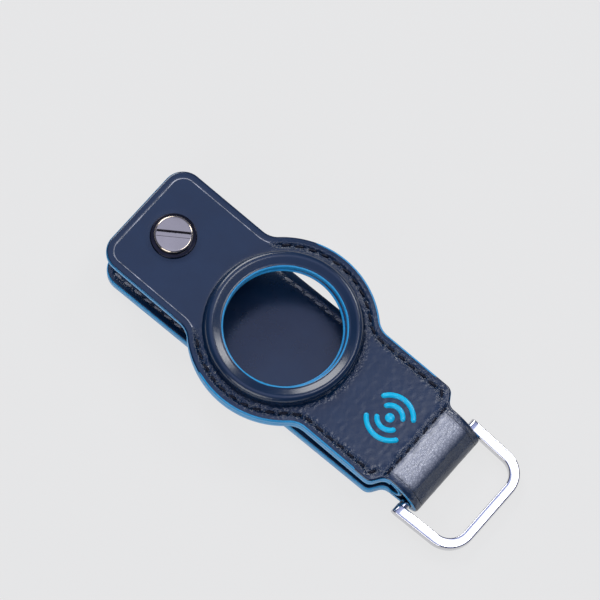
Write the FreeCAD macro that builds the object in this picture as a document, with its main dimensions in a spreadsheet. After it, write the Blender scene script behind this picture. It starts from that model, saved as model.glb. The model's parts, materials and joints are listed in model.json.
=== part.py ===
import FreeCAD, Part
import math
import operator
import os
import Sketcher

# Tracker tag holder: a leather strap folded round the bar of a flat ring. The back strap lies on the
# surface, and the flap above it has a moulded round window for the tag and a tab with a screw.
# The origin is on the surface, under the window's centre; +X runs along the strap to the ring and +Z is up.
# The flap is drawn closed, parallel to the back strap, and then turned open about the ring's bar.

# Lengths in millimetres and angles in degrees
SIZES = {
    # Tag seat, window and moulded rim
    "seat_radius": 16.3,
    "seat_ledge": 2.4,
    "rim_inset": 0.7,
    "rim_tube_radius": 1.9,
    "rim_middle_height": 1.1,
    "lip_width": 0.4,
    "core_height": 0.85,
    "rim_lining": 0.6,
    "rim_lining_tuck": 0.3,
    "rim_lining_height": 0.1,
    "rim_lining_reach": 0.65,
    # Strap outline
    "strap_width": 27.8,
    "bulge_margin": 4.7,
    "bulge_fillet_radius": 5.0,
    "tab_reach": 20.6,
    "tab_corner_radius": 4.8,
    "section_length": 15.0,
    "shoulder_depth": 3.3,
    "shoulder_angle": 57,
    "shoulder_round_share": 0.62,
    "neck_run": 0.05,
    # Leather, board and edge paint
    "leather": 1.6,
    "back_board": 0.4,
    "back_lining": 0.6,
    "flap_backing": 1.8,
    "fold_lining": 0.8,
    "edge_paint": 0.3,
    # Flap position
    "closed_gap": 3.3,
    "flap_rest_angle": 3.8,
    # Ring
    "bar_step": 0.1,
    "bar_clearance": 0.2,
    "fold_clearance": 0.4,
    "ring_length": 15.9,
    "ring_band": 2.4,
    "ring_thickness": 2.6,
    "ring_taper": 0.6,
    "leg_round_share": 0.95,
    "ring_side_clearance": 0.75,
    "ring_side_shift": 0.45,
    "ring_corner_radius": 6.5,
    "ring_edge_radius": 0.35,
    "floor_clearance": 0.05,
    "cut_overrun": 1.0,
    # Screw, washer, eyelet and barrel
    "screw_inset": 9.9,
    "head_radius": 4.3,
    "head_height": 1.3,
    "head_chamfer": 0.5,
    "slot_width": 1.3,
    "slot_length": 7.6,
    "slot_depth": 0.75,
    "slot_angle": 35.6,
    "screw_neck_radius": 1.4,
    "screw_clearance": 0.1,
    "screw_float": 2.0,
    "thread_depth": 0.25,
    "thread_length": 2.0,
    "washer_margin": 0.85,
    "washer_thickness": 0.4,
    "eyelet_wall": 0.5,
    "eyelet_lip": 1.4,
    "eyelet_flange": 0.4,
    "barrel_clearance": 0.35,
    "barrel_wall": 0.9,
    "barrel_floor": 0.6,
    "barrel_lip": 2.1,
    "press_clearance": 0.05,
    # Emblem: a dot between two pairs of arcs
    "emblem_inset": 5.8,
    "emblem_line": 1.2,
    "emblem_height": 0.5,
    "emblem_dot_radius": 1.1,
    "emblem_inner_radius": 2.8,
    "emblem_outer_radius": 5.1,
    "emblem_arc_angle": 110,
    # Stitching
    "stitch_inset": 2.0,
    "stitch_pitch": 2.9,
    "stitch_length": 2.0,
    "stitch_radius": 0.35,
    "shoulder_row_inset": 1.8,
}

OPERATIONS = {"+": operator.add, "-": operator.sub, "*": operator.mul, "/": operator.truediv}
X_AXIS = FreeCAD.Vector(1, 0, 0)
Y_AXIS = FreeCAD.Vector(0, 1, 0)
Z_AXIS = FreeCAD.Vector(0, 0, 1)
MATCH_TOLERANCE = 0.001


class Size:
    """A number together with the sheet expression that gives it."""

    def __init__(self, value, expression):
        self.value = value
        self.expression = expression

    def __add__(self, other):
        return combined(self, "+", other)

    def __sub__(self, other):
        return combined(self, "-", other)

    def __mul__(self, other):
        return combined(self, "*", other)

    def __truediv__(self, other):
        return combined(self, "/", other)

    def __neg__(self):
        return combined(NOTHING, "-", self)


def combined(first, sign, second):
    if not isinstance(second, Size):
        second = Size(second, str(second))
    value = OPERATIONS[sign](first.value, second.value)
    return Size(value, f"({first.expression} {sign} {second.expression})")


def root(number):
    return Size(math.sqrt(number.value), f"sqrt({number.expression})")


def sine(angle):
    return Size(math.sin(math.radians(angle.value)), f"sin({angle.expression})")


def cosine(angle):
    return Size(math.cos(math.radians(angle.value)), f"cos({angle.expression})")


def tangent(angle):
    return Size(math.tan(math.radians(angle.value)), f"tan({angle.expression})")


def arcsine(number):
    return Size(math.degrees(math.asin(number.value)), f"asin({number.expression}) / 1deg")


NOTHING = Size(0, "0")

doc = FreeCAD.newDocument("TrackerTagHolder")
sheet = doc.addObject("Spreadsheet::Sheet", "Sizes")
for row, (alias, number) in enumerate(SIZES.items(), start=1):
    sheet.set(f"A{row}", alias)
    sheet.set(f"B{row}", str(number))
    sheet.setAlias(f"B{row}", alias)
doc.recompute()


def size(alias):
    return Size(sheet.get(alias), "Sizes." + alias)


# Heights
leather = size("leather")
edge_paint = size("edge_paint")
board_top = leather + size("back_board")
back_top = board_top + size("back_lining")
backing_under = back_top + size("closed_gap")
leather_under = backing_under + size("flap_backing")
flap_top = leather_under + leather

# Strap outline, seen from above
seat_radius = size("seat_radius")
window_radius = seat_radius - size("seat_ledge")
rim_middle_radius = seat_radius - size("rim_inset")
bulge_radius = seat_radius + size("bulge_margin")
tab_length = bulge_radius + size("tab_reach")
half_width = size("strap_width") / 2
neck_half = half_width - size("shoulder_depth")
half_slope = tangent(size("shoulder_angle") / 2)
shoulder_start = bulge_radius + size("section_length")
shoulder_length = size("shoulder_depth") / tangent(size("shoulder_angle"))
shoulder_bend = size("shoulder_depth") / sine(size("shoulder_angle")) * size("shoulder_round_share") / 2
shoulder_radius = shoulder_bend / half_slope
fold_start = shoulder_start + shoulder_length + shoulder_bend + size("neck_run")
screw_x = size("screw_inset") - tab_length

# Bar and ring: the bar lies just beyond the inner fold, which is round and fills the gap at the neck
flap_angle = size("flap_rest_angle")
ring_half_thickness = size("ring_thickness") / 2
bar_radius = ring_half_thickness - size("bar_step")
wrap_radius = bar_radius + size("bar_clearance")
bar_z = leather + wrap_radius


def fold_reach():
    """Distance from the end of the straps to the bar's axis."""
    rise = leather_under - bar_z
    low = bar_z - leather + rise * cosine(flap_angle)
    share = (sine(flap_angle) - 1) / (cosine(flap_angle) + 1)
    sides = rise * sine(flap_angle) - low * share + bar_radius + size("fold_clearance")
    return sides / (cosine(flap_angle) + share * sine(flap_angle))


bar_x = fold_start + fold_reach()
ring_drop = bar_z - ring_half_thickness - size("floor_clearance")
ring_angle = arcsine(ring_drop / size("ring_length"))


# Sketches and features
def origin_plane(body, role):
    return next(feature for feature in body.Origin.OriginFeatures if feature.Role == role)


def new_body(label):
    body = doc.addObject("PartDesign::Body", label)
    body.Label = label
    return body


def new_sketch(body, role, shift=NOTHING, lift=NOTHING):
    """An empty sketch on an origin plane, moved along the plane's X and along its normal."""
    sketch = body.newObject("Sketcher::SketchObject", body.Name + "_sketch")
    sketch.AttachmentSupport = (origin_plane(body, role), [""])
    sketch.MapMode = "FlatFace"
    sketch.setExpression("AttachmentOffset.Base.x", shift.expression)
    sketch.setExpression("AttachmentOffset.Base.z", lift.expression)
    return sketch


def bind(sketch, kind, where, length, name):
    index = sketch.addConstraint(Sketcher.Constraint(kind, *where, length.value))
    sketch.renameConstraint(index, name)
    sketch.setExpression("Constraints." + name, length.expression)


def point(corner):
    return FreeCAD.Vector(corner[0].value, corner[1].value, 0)


def draw_outline(sketch, corners, arcs=None):
    """A closed outline through the corners. arcs maps the number of a side to its centre and radius;
    such a side bulges upwards between its two corners."""
    arcs = arcs or {}
    ends = []
    for side, corner in enumerate(corners):
        first = point(corner)
        second = point(corners[(side + 1) % len(corners)])
        if side not in arcs:
            sketch.addGeometry(Part.LineSegment(first, second), False)
            ends.append((1, 2))
            continue
        centre, radius = point(arcs[side][0]), arcs[side][1]
        leftward = first.x > second.x
        right, left = (first, second) if leftward else (second, first)
        start = math.atan2(right.y - centre.y, right.x - centre.x)
        stop = math.atan2(left.y - centre.y, left.x - centre.x)
        circle = Part.Circle(centre, Z_AXIS, radius.value)
        sketch.addGeometry(Part.ArcOfCircle(circle, start, stop), False)
        ends.append((1, 2) if leftward else (2, 1))
    for side, corner in enumerate(corners):
        following = (side + 1) % len(corners)
        sketch.addConstraint(
            Sketcher.Constraint("Coincident", side, ends[side][1], following, ends[following][0])
        )
        bind(sketch, "DistanceX", (-1, 1, side, ends[side][0]), corner[0], f"across_{side}")
        bind(sketch, "DistanceY", (-1, 1, side, ends[side][0]), corner[1], f"along_{side}")
    for side in arcs:
        bind(sketch, "Radius", (side,), arcs[side][1], f"radius_{side}")


def draw_circle(sketch, centre, radius):
    sketch.addGeometry(Part.Circle(point(centre), Z_AXIS, radius.value), False)
    bind(sketch, "DistanceX", (-1, 1, 0, 3), centre[0], "across")
    bind(sketch, "DistanceY", (-1, 1, 0, 3), centre[1], "along")
    bind(sketch, "Radius", (0,), radius, "radius")


def pad(body, sketch, length, both_ways=False):
    feature = body.newObject("PartDesign::Pad", body.Name + "_pad")
    feature.Profile = sketch
    feature.SideType = "Symmetric" if both_ways else "One side"
    feature.setExpression("Length", length.expression)
    doc.recompute()


def pocket(body, sketch, depth=None):
    """Cuts downwards from the sketch by depth, or upwards through the whole body."""
    volume = body.Shape.Volume
    feature = body.newObject("PartDesign::Pocket", body.Name + "_pocket")
    feature.Profile = sketch
    if depth is None:
        feature.Type = "ThroughAll"
        feature.Reversed = True
    else:
        feature.setExpression("Length", depth.expression)
    doc.recompute()
    if body.Shape.Volume >= volume:
        raise RuntimeError(f"{feature.Name} cuts nothing")


def revolve(body, sketch):
    feature = body.newObject("PartDesign::Revolution", body.Name + "_turned")
    feature.Profile = sketch
    feature.ReferenceAxis = (sketch, ["V_Axis"])
    feature.Angle = 360
    doc.recompute()


def upright_edges(body, places):
    """Names of the vertical edges that stand at the given X and Y places."""
    names = []
    for number, edge in enumerate(body.Tip.Shape.Edges, start=1):
        first = edge.Vertexes[0].Point
        last = edge.Vertexes[-1].Point
        upright = math.hypot(first.x - last.x, first.y - last.y) < MATCH_TOLERANCE
        tall = abs(first.z - last.z) > MATCH_TOLERANCE
        near = any(math.hypot(first.x - x, first.y - y) < MATCH_TOLERANCE for x, y in places)
        if upright and tall and near:
            names.append(f"Edge{number}")
    return names


def fillet(body, edges, radius):
    rounded = body.Tip
    feature = body.newObject("PartDesign::Fillet", body.Name + "_fillet")
    feature.Base = (rounded, edges)
    feature.setExpression("Radius", radius.expression)
    doc.recompute()


def mirrored_places(x, y):
    return [(x.value, y.value), (x.value, -y.value)]


def tilt_about_bar(piece, angle):
    """Turns a piece about the bar's axis."""
    piece.Placement = FreeCAD.Placement(FreeCAD.Vector(), FreeCAD.Rotation(Y_AXIS, angle.value))
    base_x = bar_x - bar_x * cosine(angle) - bar_z * sine(angle)
    base_z = bar_z + bar_x * sine(angle) - bar_z * cosine(angle)
    piece.setExpression("Placement.Rotation.Angle", angle.expression)
    piece.setExpression("Placement.Base.x", base_x.expression)
    piece.setExpression("Placement.Base.z", base_z.expression)


def tilted_point(x, z, angle):
    """Where tilt_about_bar takes a point of the XZ plane."""
    turn = math.radians(angle.value)
    across = x - bar_x.value
    up = z - bar_z.value
    new_x = bar_x.value + across * math.cos(turn) + up * math.sin(turn)
    new_z = bar_z.value - across * math.sin(turn) + up * math.cos(turn)
    return FreeCAD.Vector(new_x, 0, new_z)


# Strap outlines
def strap_outline(body, inset, bottom, height, with_tab=True, with_bulge=False):
    """Pads the strap's outline, drawn in from its cut edge by inset, and rounds its corners."""
    half = half_width - inset
    neck = neck_half - inset
    start = inset - tab_length if with_tab else NOTHING
    shoulder_from = shoulder_start - inset * half_slope
    shoulder_to = shoulder_from + shoulder_length
    side = [(start, half), (shoulder_from, half), (shoulder_to, neck), (fold_start, neck)]
    sketch = new_sketch(body, "XY_Plane", lift=bottom)
    draw_outline(sketch, side + [(x, -y) for x, y in reversed(side)])
    pad(body, sketch, height)
    if with_bulge:
        bulge = bulge_radius - inset
        sketch = new_sketch(body, "XY_Plane", lift=bottom)
        draw_circle(sketch, (NOTHING, NOTHING), bulge)
        pad(body, sketch, height)
        junction = root(bulge * bulge - half * half)
        places = mirrored_places(junction, half)
        if with_tab:
            places += mirrored_places(-junction, half)
        fillet(body, upright_edges(body, places), size("bulge_fillet_radius") + inset)
    if with_tab:
        corners = mirrored_places(start, half)
        fillet(body, upright_edges(body, corners), size("tab_corner_radius") - inset)
    outer = mirrored_places(shoulder_from, half)
    fillet(body, upright_edges(body, outer), shoulder_radius - inset)
    inner = mirrored_places(shoulder_to, neck)
    fillet(body, upright_edges(body, inner), shoulder_radius + inset)


def outline_body(label, bottom, height, **form):
    body = new_body(label)
    strap_outline(body, edge_paint, bottom, height, **form)
    return body


def paint_band(label, bottom, height, **form):
    """The paint on a strap's cut edge: the full outline less the outline inside the paint."""
    full = new_body(label + "_full")
    strap_outline(full, NOTHING, bottom, height, **form)
    inside = outline_body(label + "_inside", bottom, height, **form)
    band = doc.addObject("Part::Cut", label)
    band.Base = full
    band.Tool = inside
    doc.recompute()
    return band


def round_hole(body, x, radius):
    sketch = new_sketch(body, "XY_Plane")
    draw_circle(sketch, (x, NOTHING), radius)
    pocket(body, sketch)


def turned_body(label, corners, x=NOTHING, arcs=None):
    """A solid of revolution about a vertical axis at x; corners are pairs of radius and height."""
    body = new_body(label)
    sketch = new_sketch(body, "XZ_Plane", shift=x)
    draw_outline(sketch, corners, arcs)
    revolve(body, sketch)
    return body


def rectangle(left, right, low, high):
    return [(left, low), (right, low), (right, high), (left, high)]


# Back strap
thread_radius = size("screw_neck_radius") + size("thread_depth")
barrel_bore = thread_radius + size("barrel_clearance")
barrel_radius = barrel_bore + size("barrel_wall")
barrel_flange_radius = barrel_radius + size("barrel_lip")


def make_back():
    board = outline_body("back_board", leather, size("back_board"))
    round_hole(board, screw_x, barrel_flange_radius + size("press_clearance"))
    lining = outline_body("back_lining", board_top, size("back_lining"))
    round_hole(lining, screw_x, barrel_radius + size("press_clearance"))
    return [
        outline_body("back_leather", NOTHING, leather),
        board,
        lining,
        paint_band("back_edge_paint", NOTHING, back_top),
    ]


def make_barrel():
    top = leather_under - size("eyelet_flange") - size("screw_clearance")
    bottom = leather + size("barrel_floor")
    corners = [
        (NOTHING, leather),
        (barrel_flange_radius, leather),
        (barrel_flange_radius, board_top),
        (barrel_radius, board_top),
        (barrel_radius, top),
        (barrel_bore, top),
        (barrel_bore, bottom),
        (NOTHING, bottom),
    ]
    return turned_body("screw_barrel", corners, screw_x)


# Flap
eyelet_bore = size("screw_neck_radius") + size("screw_clearance")
eyelet_radius = eyelet_bore + size("eyelet_wall")
eyelet_flange_radius = eyelet_radius + size("eyelet_lip")
window_wall = window_radius + edge_paint
core_inner = window_wall + size("lip_width")
rim_lining_under = flap_top + size("rim_lining_height")
rim_lining_top = rim_lining_under + size("rim_lining")
rim_lining_radius = seat_radius + size("rim_lining_tuck")
rim_middle = (rim_middle_radius, flap_top + size("rim_middle_height"))


def rim_height(radius):
    """Height of the rim's outer surface above its middle, at a radius."""
    offset = radius - rim_middle_radius
    return root(size("rim_tube_radius") * size("rim_tube_radius") - offset * offset)


def core_arc():
    """Centre and radius of the core's round top."""
    half_chord = (rim_lining_radius - core_inner) / 2
    height = size("core_height")
    radius = (height * height + half_chord * half_chord) / (height * 2)
    return (core_inner + half_chord, rim_lining_top + height - radius), radius


def make_flap_leather():
    body = outline_body("flap_leather", leather_under, leather, with_bulge=True)
    round_hole(body, NOTHING, seat_radius)
    round_hole(body, screw_x, eyelet_radius + size("press_clearance"))
    tube = size("rim_tube_radius")
    rise = size("rim_middle_height")
    foot = rim_middle_radius + root(tube * tube - rise * rise)
    root_level = flap_top - leather / 2
    corners = [
        (seat_radius, root_level),
        (foot, root_level),
        (foot, flap_top),
        (window_wall, rim_middle[1] + rim_height(window_wall)),
        (window_wall, rim_lining_top),
        (core_inner, rim_lining_top),
        (rim_lining_radius, rim_lining_top),
        (rim_lining_radius, rim_lining_under),
        (seat_radius, rim_lining_under),
    ]
    sketch = new_sketch(body, "XZ_Plane")
    draw_outline(sketch, corners, {2: (rim_middle, tube), 5: core_arc()})
    revolve(body, sketch)
    return body


def make_backing():
    body = outline_body(
        "flap_backing", backing_under, size("flap_backing"), with_tab=False, with_bulge=True
    )
    round_hole(body, NOTHING, seat_radius)
    return body


def make_flap_paint():
    leather_band = paint_band("leather_band", leather_under, leather, with_bulge=True)
    backing_band = paint_band(
        "backing_band", backing_under, size("flap_backing"), with_tab=False, with_bulge=True
    )
    band = doc.addObject("Part::Fuse", "flap_edge_paint")
    band.Base = leather_band
    band.Tool = backing_band
    return band


def make_rim():
    lining_edge = window_radius - size("rim_lining_reach")
    lining_wall = lining_edge + edge_paint
    core_corners = [(core_inner, rim_lining_top), (rim_lining_radius, rim_lining_top)]
    core = turned_body("rim_core", core_corners, arcs={1: core_arc()})
    lining = turned_body(
        "rim_lining", rectangle(lining_wall, rim_lining_radius, rim_lining_under, rim_lining_top)
    )
    upper_corners = [
        (window_radius, rim_lining_top),
        (window_wall, rim_lining_top),
        (window_wall, rim_middle[1] + rim_height(window_wall)),
        (window_radius, rim_middle[1] + rim_height(window_radius)),
    ]
    upper = turned_body("window_paint_upper", upper_corners)
    lower = turned_body(
        "window_paint_lower", rectangle(lining_edge, lining_wall, rim_lining_under, rim_lining_top)
    )
    paint = doc.addObject("Part::Compound", "window_edge_paint")
    paint.Links = [upper, lower]
    return [core, lining, paint]


def emblem_cylinder(name, radius, angle, start):
    """A piece of a cylinder on the flap's face, centred on the emblem."""
    cylinder = doc.addObject("Part::Cylinder", name)
    cylinder.Placement = FreeCAD.Placement(FreeCAD.Vector(), FreeCAD.Rotation(Z_AXIS, 90))
    cylinder.setExpression("Radius", radius.expression)
    cylinder.setExpression("Height", size("emblem_height").expression)
    cylinder.setExpression("Angle", angle.expression)
    cylinder.setExpression("Placement.Base.x", (shoulder_start - size("emblem_inset")).expression)
    cylinder.setExpression("Placement.Base.z", flap_top.expression)
    cylinder.setExpression("Placement.Rotation.Angle", start.expression)
    return cylinder


def make_emblem():
    full_turn = Size(360, "360")
    quarter_turn = full_turn / 4
    half_line = size("emblem_line") / 2
    arc_angle = size("emblem_arc_angle")
    pieces = [emblem_cylinder("emblem_dot", size("emblem_dot_radius"), full_turn, NOTHING)]
    for ring in ("inner", "outer"):
        radius = size(f"emblem_{ring}_radius")
        for side, middle in (("near", quarter_turn), ("far", quarter_turn * 3)):
            name = f"emblem_{ring}_{side}"
            start = middle - arc_angle / 2
            arc = doc.addObject("Part::Cut", name)
            arc.Base = emblem_cylinder(name + "_disc", radius + half_line, arc_angle, start)
            arc.Tool = emblem_cylinder(name + "_hole", radius - half_line, full_turn, NOTHING)
            pieces.append(arc)
    emblem = doc.addObject("Part::Compound", "emblem")
    emblem.Links = pieces
    return emblem


# Screw and its fittings
def make_screw_set():
    eyelet_under = leather_under - size("eyelet_flange")
    washer_top = flap_top + size("washer_thickness")
    head_top = washer_top + size("head_height")
    thread_top = eyelet_under - size("screw_float") - size("screw_clearance")
    tip = thread_top - size("thread_length")
    eyelet_corners = [
        (eyelet_bore, eyelet_under),
        (eyelet_flange_radius, eyelet_under),
        (eyelet_flange_radius, leather_under),
        (eyelet_radius, leather_under),
        (eyelet_radius, flap_top),
        (eyelet_bore, flap_top),
    ]
    eyelet = turned_body("tab_eyelet", eyelet_corners, screw_x)
    head_radius = size("head_radius")
    washer_radius = head_radius + size("washer_margin")
    washer = turned_body(
        "screw_washer", rectangle(eyelet_bore, washer_radius, flap_top, washer_top), screw_x
    )
    screw_corners = [
        (NOTHING, tip),
        (thread_radius, tip),
        (thread_radius, thread_top),
        (size("screw_neck_radius"), thread_top),
        (size("screw_neck_radius"), washer_top),
        (head_radius, washer_top),
        (head_radius, head_top - size("head_chamfer")),
        (head_radius - size("head_chamfer"), head_top),
        (NOTHING, head_top),
    ]
    screw = turned_body("screw", screw_corners, screw_x)
    slot = new_sketch(screw, "XY_Plane", shift=screw_x, lift=head_top)
    slot.AttachmentOffset = FreeCAD.Placement(
        slot.AttachmentOffset.Base, FreeCAD.Rotation(Z_AXIS, size("slot_angle").value)
    )
    slot.setExpression("AttachmentOffset.Rotation.Angle", size("slot_angle").expression)
    half_length = size("slot_length") / 2
    half_slot = size("slot_width") / 2
    draw_outline(slot, rectangle(-half_length, half_length, -half_slot, half_slot))
    pocket(screw, slot, size("slot_depth"))
    return [eyelet, washer, screw]


# Ring
def level_edges(body, first_x, last_x):
    """Names of the ring's top and bottom edges that lie between two places along the strap."""
    levels = (bar_z.value - ring_half_thickness.value, bar_z.value + ring_half_thickness.value)
    names = []
    for number, edge in enumerate(body.Tip.Shape.Edges, start=1):
        box = edge.BoundBox
        heights = [abs(box.ZMin - level) + abs(box.ZMax - level) for level in levels]
        within = first_x - MATCH_TOLERANCE < box.XMin and box.XMax < last_x + MATCH_TOLERANCE
        if min(heights) < MATCH_TOLERANCE and within:
            names.append(f"Edge{number}")
    return names


def make_ring():
    body = new_body("ring")
    band = size("ring_band")
    start = bar_x - ring_half_thickness
    far = bar_x + size("ring_length")
    slope = size("ring_taper") / (far - start)
    inner_half = neck_half + size("ring_side_clearance")
    outer_half = inner_half + band
    far_half = outer_half - size("ring_taper")
    sketch = new_sketch(body, "XY_Plane", lift=bar_z - ring_half_thickness)
    draw_outline(sketch, [(start, -outer_half), (far, -far_half), (far, far_half), (start, outer_half)])
    pad(body, sketch, size("ring_thickness"))
    fillet(body, upright_edges(body, mirrored_places(far, far_half)), size("ring_corner_radius"))
    near = start - size("cut_overrun")
    near_half = inner_half + slope * size("cut_overrun")
    inner_far = far - band
    inner_far_half = inner_half - slope * (inner_far - start)
    inside = new_sketch(body, "XY_Plane")
    draw_outline(
        inside,
        [(near, -near_half), (inner_far, -inner_far_half), (inner_far, inner_far_half), (near, near_half)],
    )
    pocket(body, inside)
    inner_corners = mirrored_places(inner_far, inner_far_half)
    fillet(body, upright_edges(body, inner_corners), size("ring_corner_radius") - band)
    leg_ends = level_edges(body, start.value, start.value)
    fillet(body, leg_ends, ring_half_thickness * size("leg_round_share"))
    fillet(body, level_edges(body, bar_x.value - bar_radius.value, far.value), size("ring_edge_radius"))
    bar = new_sketch(body, "XZ_Plane")
    draw_circle(bar, (bar_x, bar_z), bar_radius)
    pad(body, bar, inner_half * 2 + band, both_ways=True)
    return body


# Fold round the bar
def arc_edge(centre, radius, first_angle, last_angle):
    """An arc in the XZ plane; angles are in radians from +X towards +Z."""
    points = []
    for angle in (first_angle, (first_angle + last_angle) / 2, last_angle):
        points.append(centre + X_AXIS * (radius * math.cos(angle)) + Z_AXIS * (radius * math.sin(angle)))
    return Part.Arc(*points).toShape()


def line_edge(first, last):
    return Part.LineSegment(first, last).toShape()


def closed_face(outer, inner):
    """A face between two runs of edges that start side by side and end side by side."""
    first = line_edge(inner[0].firstVertex(True).Point, outer[0].firstVertex(True).Point)
    last = line_edge(outer[-1].lastVertex(True).Point, inner[-1].lastVertex(True).Point)
    return Part.Face(Part.Wire(Part.sortEdges([first, *outer, last, *inner])[0]))


def leather_fold_face():
    """Side view of the neck: an arch from the flap, the wrap round the bar and the run to the back."""
    turn = math.radians(flap_angle.value)
    up = FreeCAD.Vector(math.sin(turn), 0, math.cos(turn))
    bar = FreeCAD.Vector(bar_x.value, 0, bar_z.value)
    top = tilted_point(fold_start.value, flap_top.value, flap_angle)
    wrap = wrap_radius.value + leather.value
    offset = top - bar
    arch = (offset.Length ** 2 - wrap ** 2) / (2 * (offset.dot(up) - wrap))
    centre = top - up * arch
    touch = math.atan2(bar.z - centre.z, bar.x - centre.x)
    runs = []
    for depth in (0, leather.value):
        level = bar.z - wrap + depth
        runs.append([
            arc_edge(centre, arch - depth, math.pi / 2 - turn, touch),
            arc_edge(bar, wrap - depth, touch, -math.pi / 2),
            line_edge(FreeCAD.Vector(bar.x, 0, level), FreeCAD.Vector(fold_start.value, 0, level)),
        ])
    return closed_face(*runs)


def lining_fold_face():
    """Side view of the inner fold, from under the flap's leather round to the back strap."""
    turn = math.radians(flap_angle.value)
    up = FreeCAD.Vector(math.sin(turn), 0, math.cos(turn))
    start = tilted_point(fold_start.value, leather_under.value, flap_angle)
    radius = (start.z - leather.value) / (1 + math.cos(turn))
    centre = start - up * radius
    runs = []
    for depth in (0, size("fold_lining").value):
        level = leather.value + depth
        runs.append([
            arc_edge(centre, radius - depth, math.pi / 2 - turn, -math.pi / 2),
            line_edge(FreeCAD.Vector(centre.x, 0, level), FreeCAD.Vector(fold_start.value, 0, level)),
        ])
    return closed_face(*runs)


def swept(face, start, width):
    moved = face.translated(Y_AXIS * start)
    return moved.extrude(Y_AXIS * width)


def shape_feature(label, shape):
    feature = doc.addObject("Part::Feature", label)
    feature.Shape = shape
    return feature


def make_fold():
    half = neck_half.value
    inside = half - edge_paint.value
    faces = {"fold_leather": leather_fold_face(), "fold_lining": lining_fold_face()}
    pieces = [shape_feature(label, swept(face, -inside, inside * 2)) for label, face in faces.items()]
    bands = []
    for face in faces.values():
        bands.append(swept(face, inside, edge_paint.value))
        bands.append(swept(face, -half, edge_paint.value))
    pieces.append(shape_feature("fold_edge_paint", Part.makeCompound(bands)))
    return pieces


# Stitching
def stitch(place, heading):
    """One thread lying on a level face: half a cylinder along heading, centred on place."""
    radius = size("stitch_radius").value
    length = size("stitch_length").value
    left, right = Y_AXIS * radius, Y_AXIS * -radius
    section = [Part.Arc(left, Z_AXIS * radius, right).toShape(), line_edge(right, left)]
    thread = Part.Face(Part.Wire(section)).extrude(X_AXIS * length)
    thread.translate(X_AXIS * (-length / 2))
    thread.rotate(FreeCAD.Vector(), Z_AXIS, math.degrees(heading))
    thread.translate(place)
    return thread


def stitch_row(path, level):
    """Stitches spread evenly along a path of edges in the XY plane."""
    wire = Part.Wire(path)
    count = max(1, round(wire.Length / size("stitch_pitch").value))
    stitches = []
    for distance in range(count):
        target = wire.Length * (distance + 0.5) / count
        for edge in path:
            if target <= edge.Length:
                break
            target -= edge.Length
        parameter = edge.getParameterByLength(target)
        place = edge.valueAt(parameter)
        heading = edge.tangentAt(parameter)
        stitches.append(stitch(place + Z_AXIS * level, math.atan2(heading.y, heading.x)))
    return stitches


def flat_arc(centre, radius, first_angle, last_angle):
    points = []
    for angle in (first_angle, (first_angle + last_angle) / 2, last_angle):
        points.append(centre + X_AXIS * (radius * math.cos(angle)) + Y_AXIS * (radius * math.sin(angle)))
    return Part.Arc(*points).toShape()


def make_stitching():
    inset = size("stitch_inset").value
    row = half_width.value - inset
    shoulder = shoulder_start.value
    tab_end = inset - tab_length.value
    tab_round = size("tab_corner_radius").value - inset
    bulge = bulge_radius.value
    bend = size("bulge_fillet_radius").value
    bend_y = half_width.value + bend
    bend_x = math.sqrt((bulge + bend) ** 2 - bend_y ** 2)
    bend_angle = math.atan2(bend_y, bend_x)
    flap_rows = []
    back_rows = []
    for side in (1, -1):
        middle = FreeCAD.Vector(bend_x, side * bend_y, 0)
        flap_rows += stitch_row([
            flat_arc(FreeCAD.Vector(), bulge - inset, side * (math.pi - bend_angle), side * bend_angle),
            flat_arc(middle, bend + inset, side * (math.pi + bend_angle), side * 3 * math.pi / 2),
            line_edge(FreeCAD.Vector(bend_x, side * row, 0), FreeCAD.Vector(shoulder, side * row, 0)),
        ], flap_top.value)
        corner = FreeCAD.Vector(tab_end + tab_round, side * (row - tab_round), 0)
        back_rows += stitch_row([
            line_edge(FreeCAD.Vector(tab_end, 0, 0), FreeCAD.Vector(tab_end, corner.y, 0)),
            flat_arc(corner, tab_round, side * math.pi, side * math.pi / 2),
            line_edge(FreeCAD.Vector(corner.x, side * row, 0), FreeCAD.Vector(shoulder, side * row, 0)),
        ], back_top.value)
    across = shoulder + size("shoulder_row_inset").value
    neck_row = neck_half.value - edge_paint.value
    shoulder_row = stitch_row(
        [line_edge(FreeCAD.Vector(across, -neck_row, 0), FreeCAD.Vector(across, neck_row, 0))],
        flap_top.value,
    )
    rows = {
        "flap_stitching": flap_rows,
        "shoulder_stitching": shoulder_row,
        "back_stitching": back_rows,
    }
    return [shape_feature(label, Part.makeCompound(stitches)) for label, stitches in rows.items()]


# Assembly
flap_stitching, shoulder_stitching, back_stitching = make_stitching()
flap_pieces = [make_flap_leather(), make_backing(), make_flap_paint(), *make_rim(), make_emblem()]
flap_pieces += [*make_screw_set(), flap_stitching, shoulder_stitching]
ring = make_ring()
for piece in flap_pieces:
    tilt_about_bar(piece, flap_angle)
tilt_about_bar(ring, ring_angle)
ring.setExpression("Placement.Base.y", (-size("ring_side_shift")).expression)
pieces = [*make_back(), make_barrel(), back_stitching, *make_fold(), *flap_pieces, ring]
doc.recompute()

for item in doc.Objects:
    if "Invalid" in item.State or "Error" in item.State:
        raise RuntimeError(f"{item.Label} failed: {item.State}")
for piece in pieces:
    if piece.Shape.isNull() or not piece.Shape.isValid():
        raise RuntimeError(f"{piece.Label} has no valid shape")
os.makedirs("parts", exist_ok=True)
for piece in pieces:
    piece.Shape.exportStep(f"parts/{piece.Label}.step")
    print(piece.Label, len(piece.Shape.Solids), round(piece.Shape.Volume, 2))
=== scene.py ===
import json
import math

import bmesh
import bpy
import numpy as np
from mathutils import Matrix, Vector, noise
from mathutils.geometry import delaunay_2d_cdt


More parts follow.
